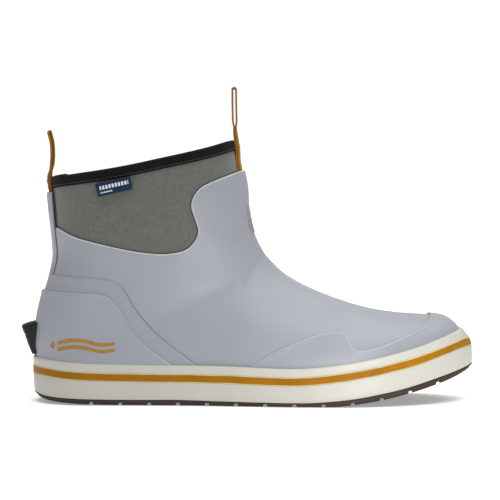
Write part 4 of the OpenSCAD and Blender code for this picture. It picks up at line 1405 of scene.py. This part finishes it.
MAT = dict(
    shell=shell_rubber(), counter=overlay_rubber("counter_rubber", 0.985, 0.12),
    cup=overlay_rubber("cup_rubber", 1.02, 0.3), stay=overlay_rubber("stay_rubber", 0.98, 0.05),
    rand=overlay_rubber("rand_rubber", 0.97, 0.25), badge=badge_material(), neoprene=neoprene(),
    seam=seam_material(), groove=groove_shadow_material(), binding=binding_material(),
    webbing=web_material(), thread=thread_material(), dark_thread=dark_thread_material(),
    label=label_material(), emblem=emblem_material(), tab=tab_material(),
    foxing=foxing_rubber(), stripe=stripe_rubber(), outsole=outsole_rubber(),
    lining=lining_material(), cover=cover_material(),
    foam=foam_material("footbed_foam", (0.05, 0.055, 0.06)))


# ------------------------------------------------------------------ make everything
make_upper()
make_binding()
make_sidewall()
make_outsole()
make_loop(True, "front_pull_loop", ["front_loop", "front_loop_base"], "front_loop", 186.4)
make_loop(False, "rear_pull_loop", ["rear_loop", "rear_loop_base"], "rear_loop", 158.6)
make_tacks()
make_label()
make_kick_tab()
make_emblem()
pad("footbed_pad", "footbed", 16, 272, 5.62, 4.6, MAT["foam"], "footbed_foam")
pad("footbed_top_cover", "footbed_cover", 17, 271, 5.62 + 4.66, 0.8, MAT["cover"],
    "cover_fabric")
paint("midsole", foam_material("midsole_foam", (0.5, 0.5, 0.47)))
paint("heel_crash_pad", foam_material("crash_pad_foam", (0.42, 0.20, 0.05), 500))
paint("insole_board", board_material())
paint("shank", steel_material())


# ------------------------------------------------------------------ floor, light
def floor_material():
    m = Maker("floor", (0.93, 0.93, 0.93), 0.9)
    n = m.noise(3, 2, 0.5)
    m.set("Base Color", m.ramp(n, [(0.2, (0.925, 0.925, 0.925)), (0.8, (0.935, 0.935, 0.935))]))
    m.set("Specular IOR Level", 0.1)
    m.set("Emission Color", (1, 1, 1, 1))
    m.set("Emission Strength", 0.27)
    return m.mat


def make_floor():
    mesh = bpy.data.meshes.new("floor")
    z = float(row([0, 0, 0])[2]) - 0.0004
    s = 40.0
    mesh.from_pydata([(-s, -s, z), (s, -s, z), (s, s, z), (-s, s, z)], [], [(0, 1, 2, 3)])
    o = bpy.data.objects.new("floor", mesh)
    bpy.context.scene.collection.objects.link(o)
    mesh.materials.append(floor_material())


def area(name, where, towards, size, power, spread=180):
    light = bpy.data.lights.new(name, "AREA")
    light.shape = "RECTANGLE"
    light.size, light.size_y = size
    light.energy = power
    light.spread = math.radians(spread)
    o = bpy.data.objects.new(name, light)
    bpy.context.scene.collection.objects.link(o)
    o.visible_camera = False
    a, b = Vector(row(where)), Vector(row(towards))
    o.location = a
    o.rotation_mode = "QUATERNION"
    o.rotation_quaternion = (b - a).to_track_quat("-Z", "Y")


def make_world():
    world = bpy.data.worlds.new("studio")
    bpy.context.scene.world = world
    world.use_nodes = True
    nt = world.node_tree
    nt.nodes.clear()
    out = nt.nodes.new("ShaderNodeOutputWorld")
    mix = nt.nodes.new("ShaderNodeMixShader")
    path = nt.nodes.new("ShaderNodeLightPath")
    seen = nt.nodes.new("ShaderNodeBackground")
    seen.inputs[0].default_value = (1, 1, 1, 1)
    seen.inputs[1].default_value = 1.05
    lit = nt.nodes.new("ShaderNodeBackground")
    lit.inputs[0].default_value = (1, 1, 1, 1)
    lit.inputs[1].default_value = WORLD_LIGHT
    nt.links.new(path.outputs["Is Camera Ray"], mix.inputs[0])
    nt.links.new(lit.outputs[0], mix.inputs[1])
    nt.links.new(seen.outputs[0], mix.inputs[2])
    nt.links.new(mix.outputs[0], out.inputs[0])


def sun(name, direction, strength, angle):
    """A broad, soft light from far away, in the direction (x, y, z) from the boot."""
    light = bpy.data.lights.new(name, "SUN")
    light.energy = strength
    light.angle = math.radians(angle)
    o = bpy.data.objects.new(name, light)
    bpy.context.scene.collection.objects.link(o)
    o.rotation_mode = "QUATERNION"
    o.rotation_quaternion = Vector(direction).to_track_quat("Z", "Y")


WORLD_LIGHT = 0.36
make_floor()
make_world()
sun("key", (0.0, -0.75, 1.1), 0.85, 30)
sun("top", (0.2, 0.05, 1.0), 1.95, 60)
sun("rim", (0.2, 0.9, 0.7), 0.5, 50)
area("low_front", (320, -430, 30), (236, 0, 40), (0.2, 0.1), 0.12, 50)

view_settings = bpy.context.scene.view_settings
view_settings.view_transform = "Standard"
view_settings.look = "None"
view_settings.exposure = 0.0
view_settings.gamma = 1.0
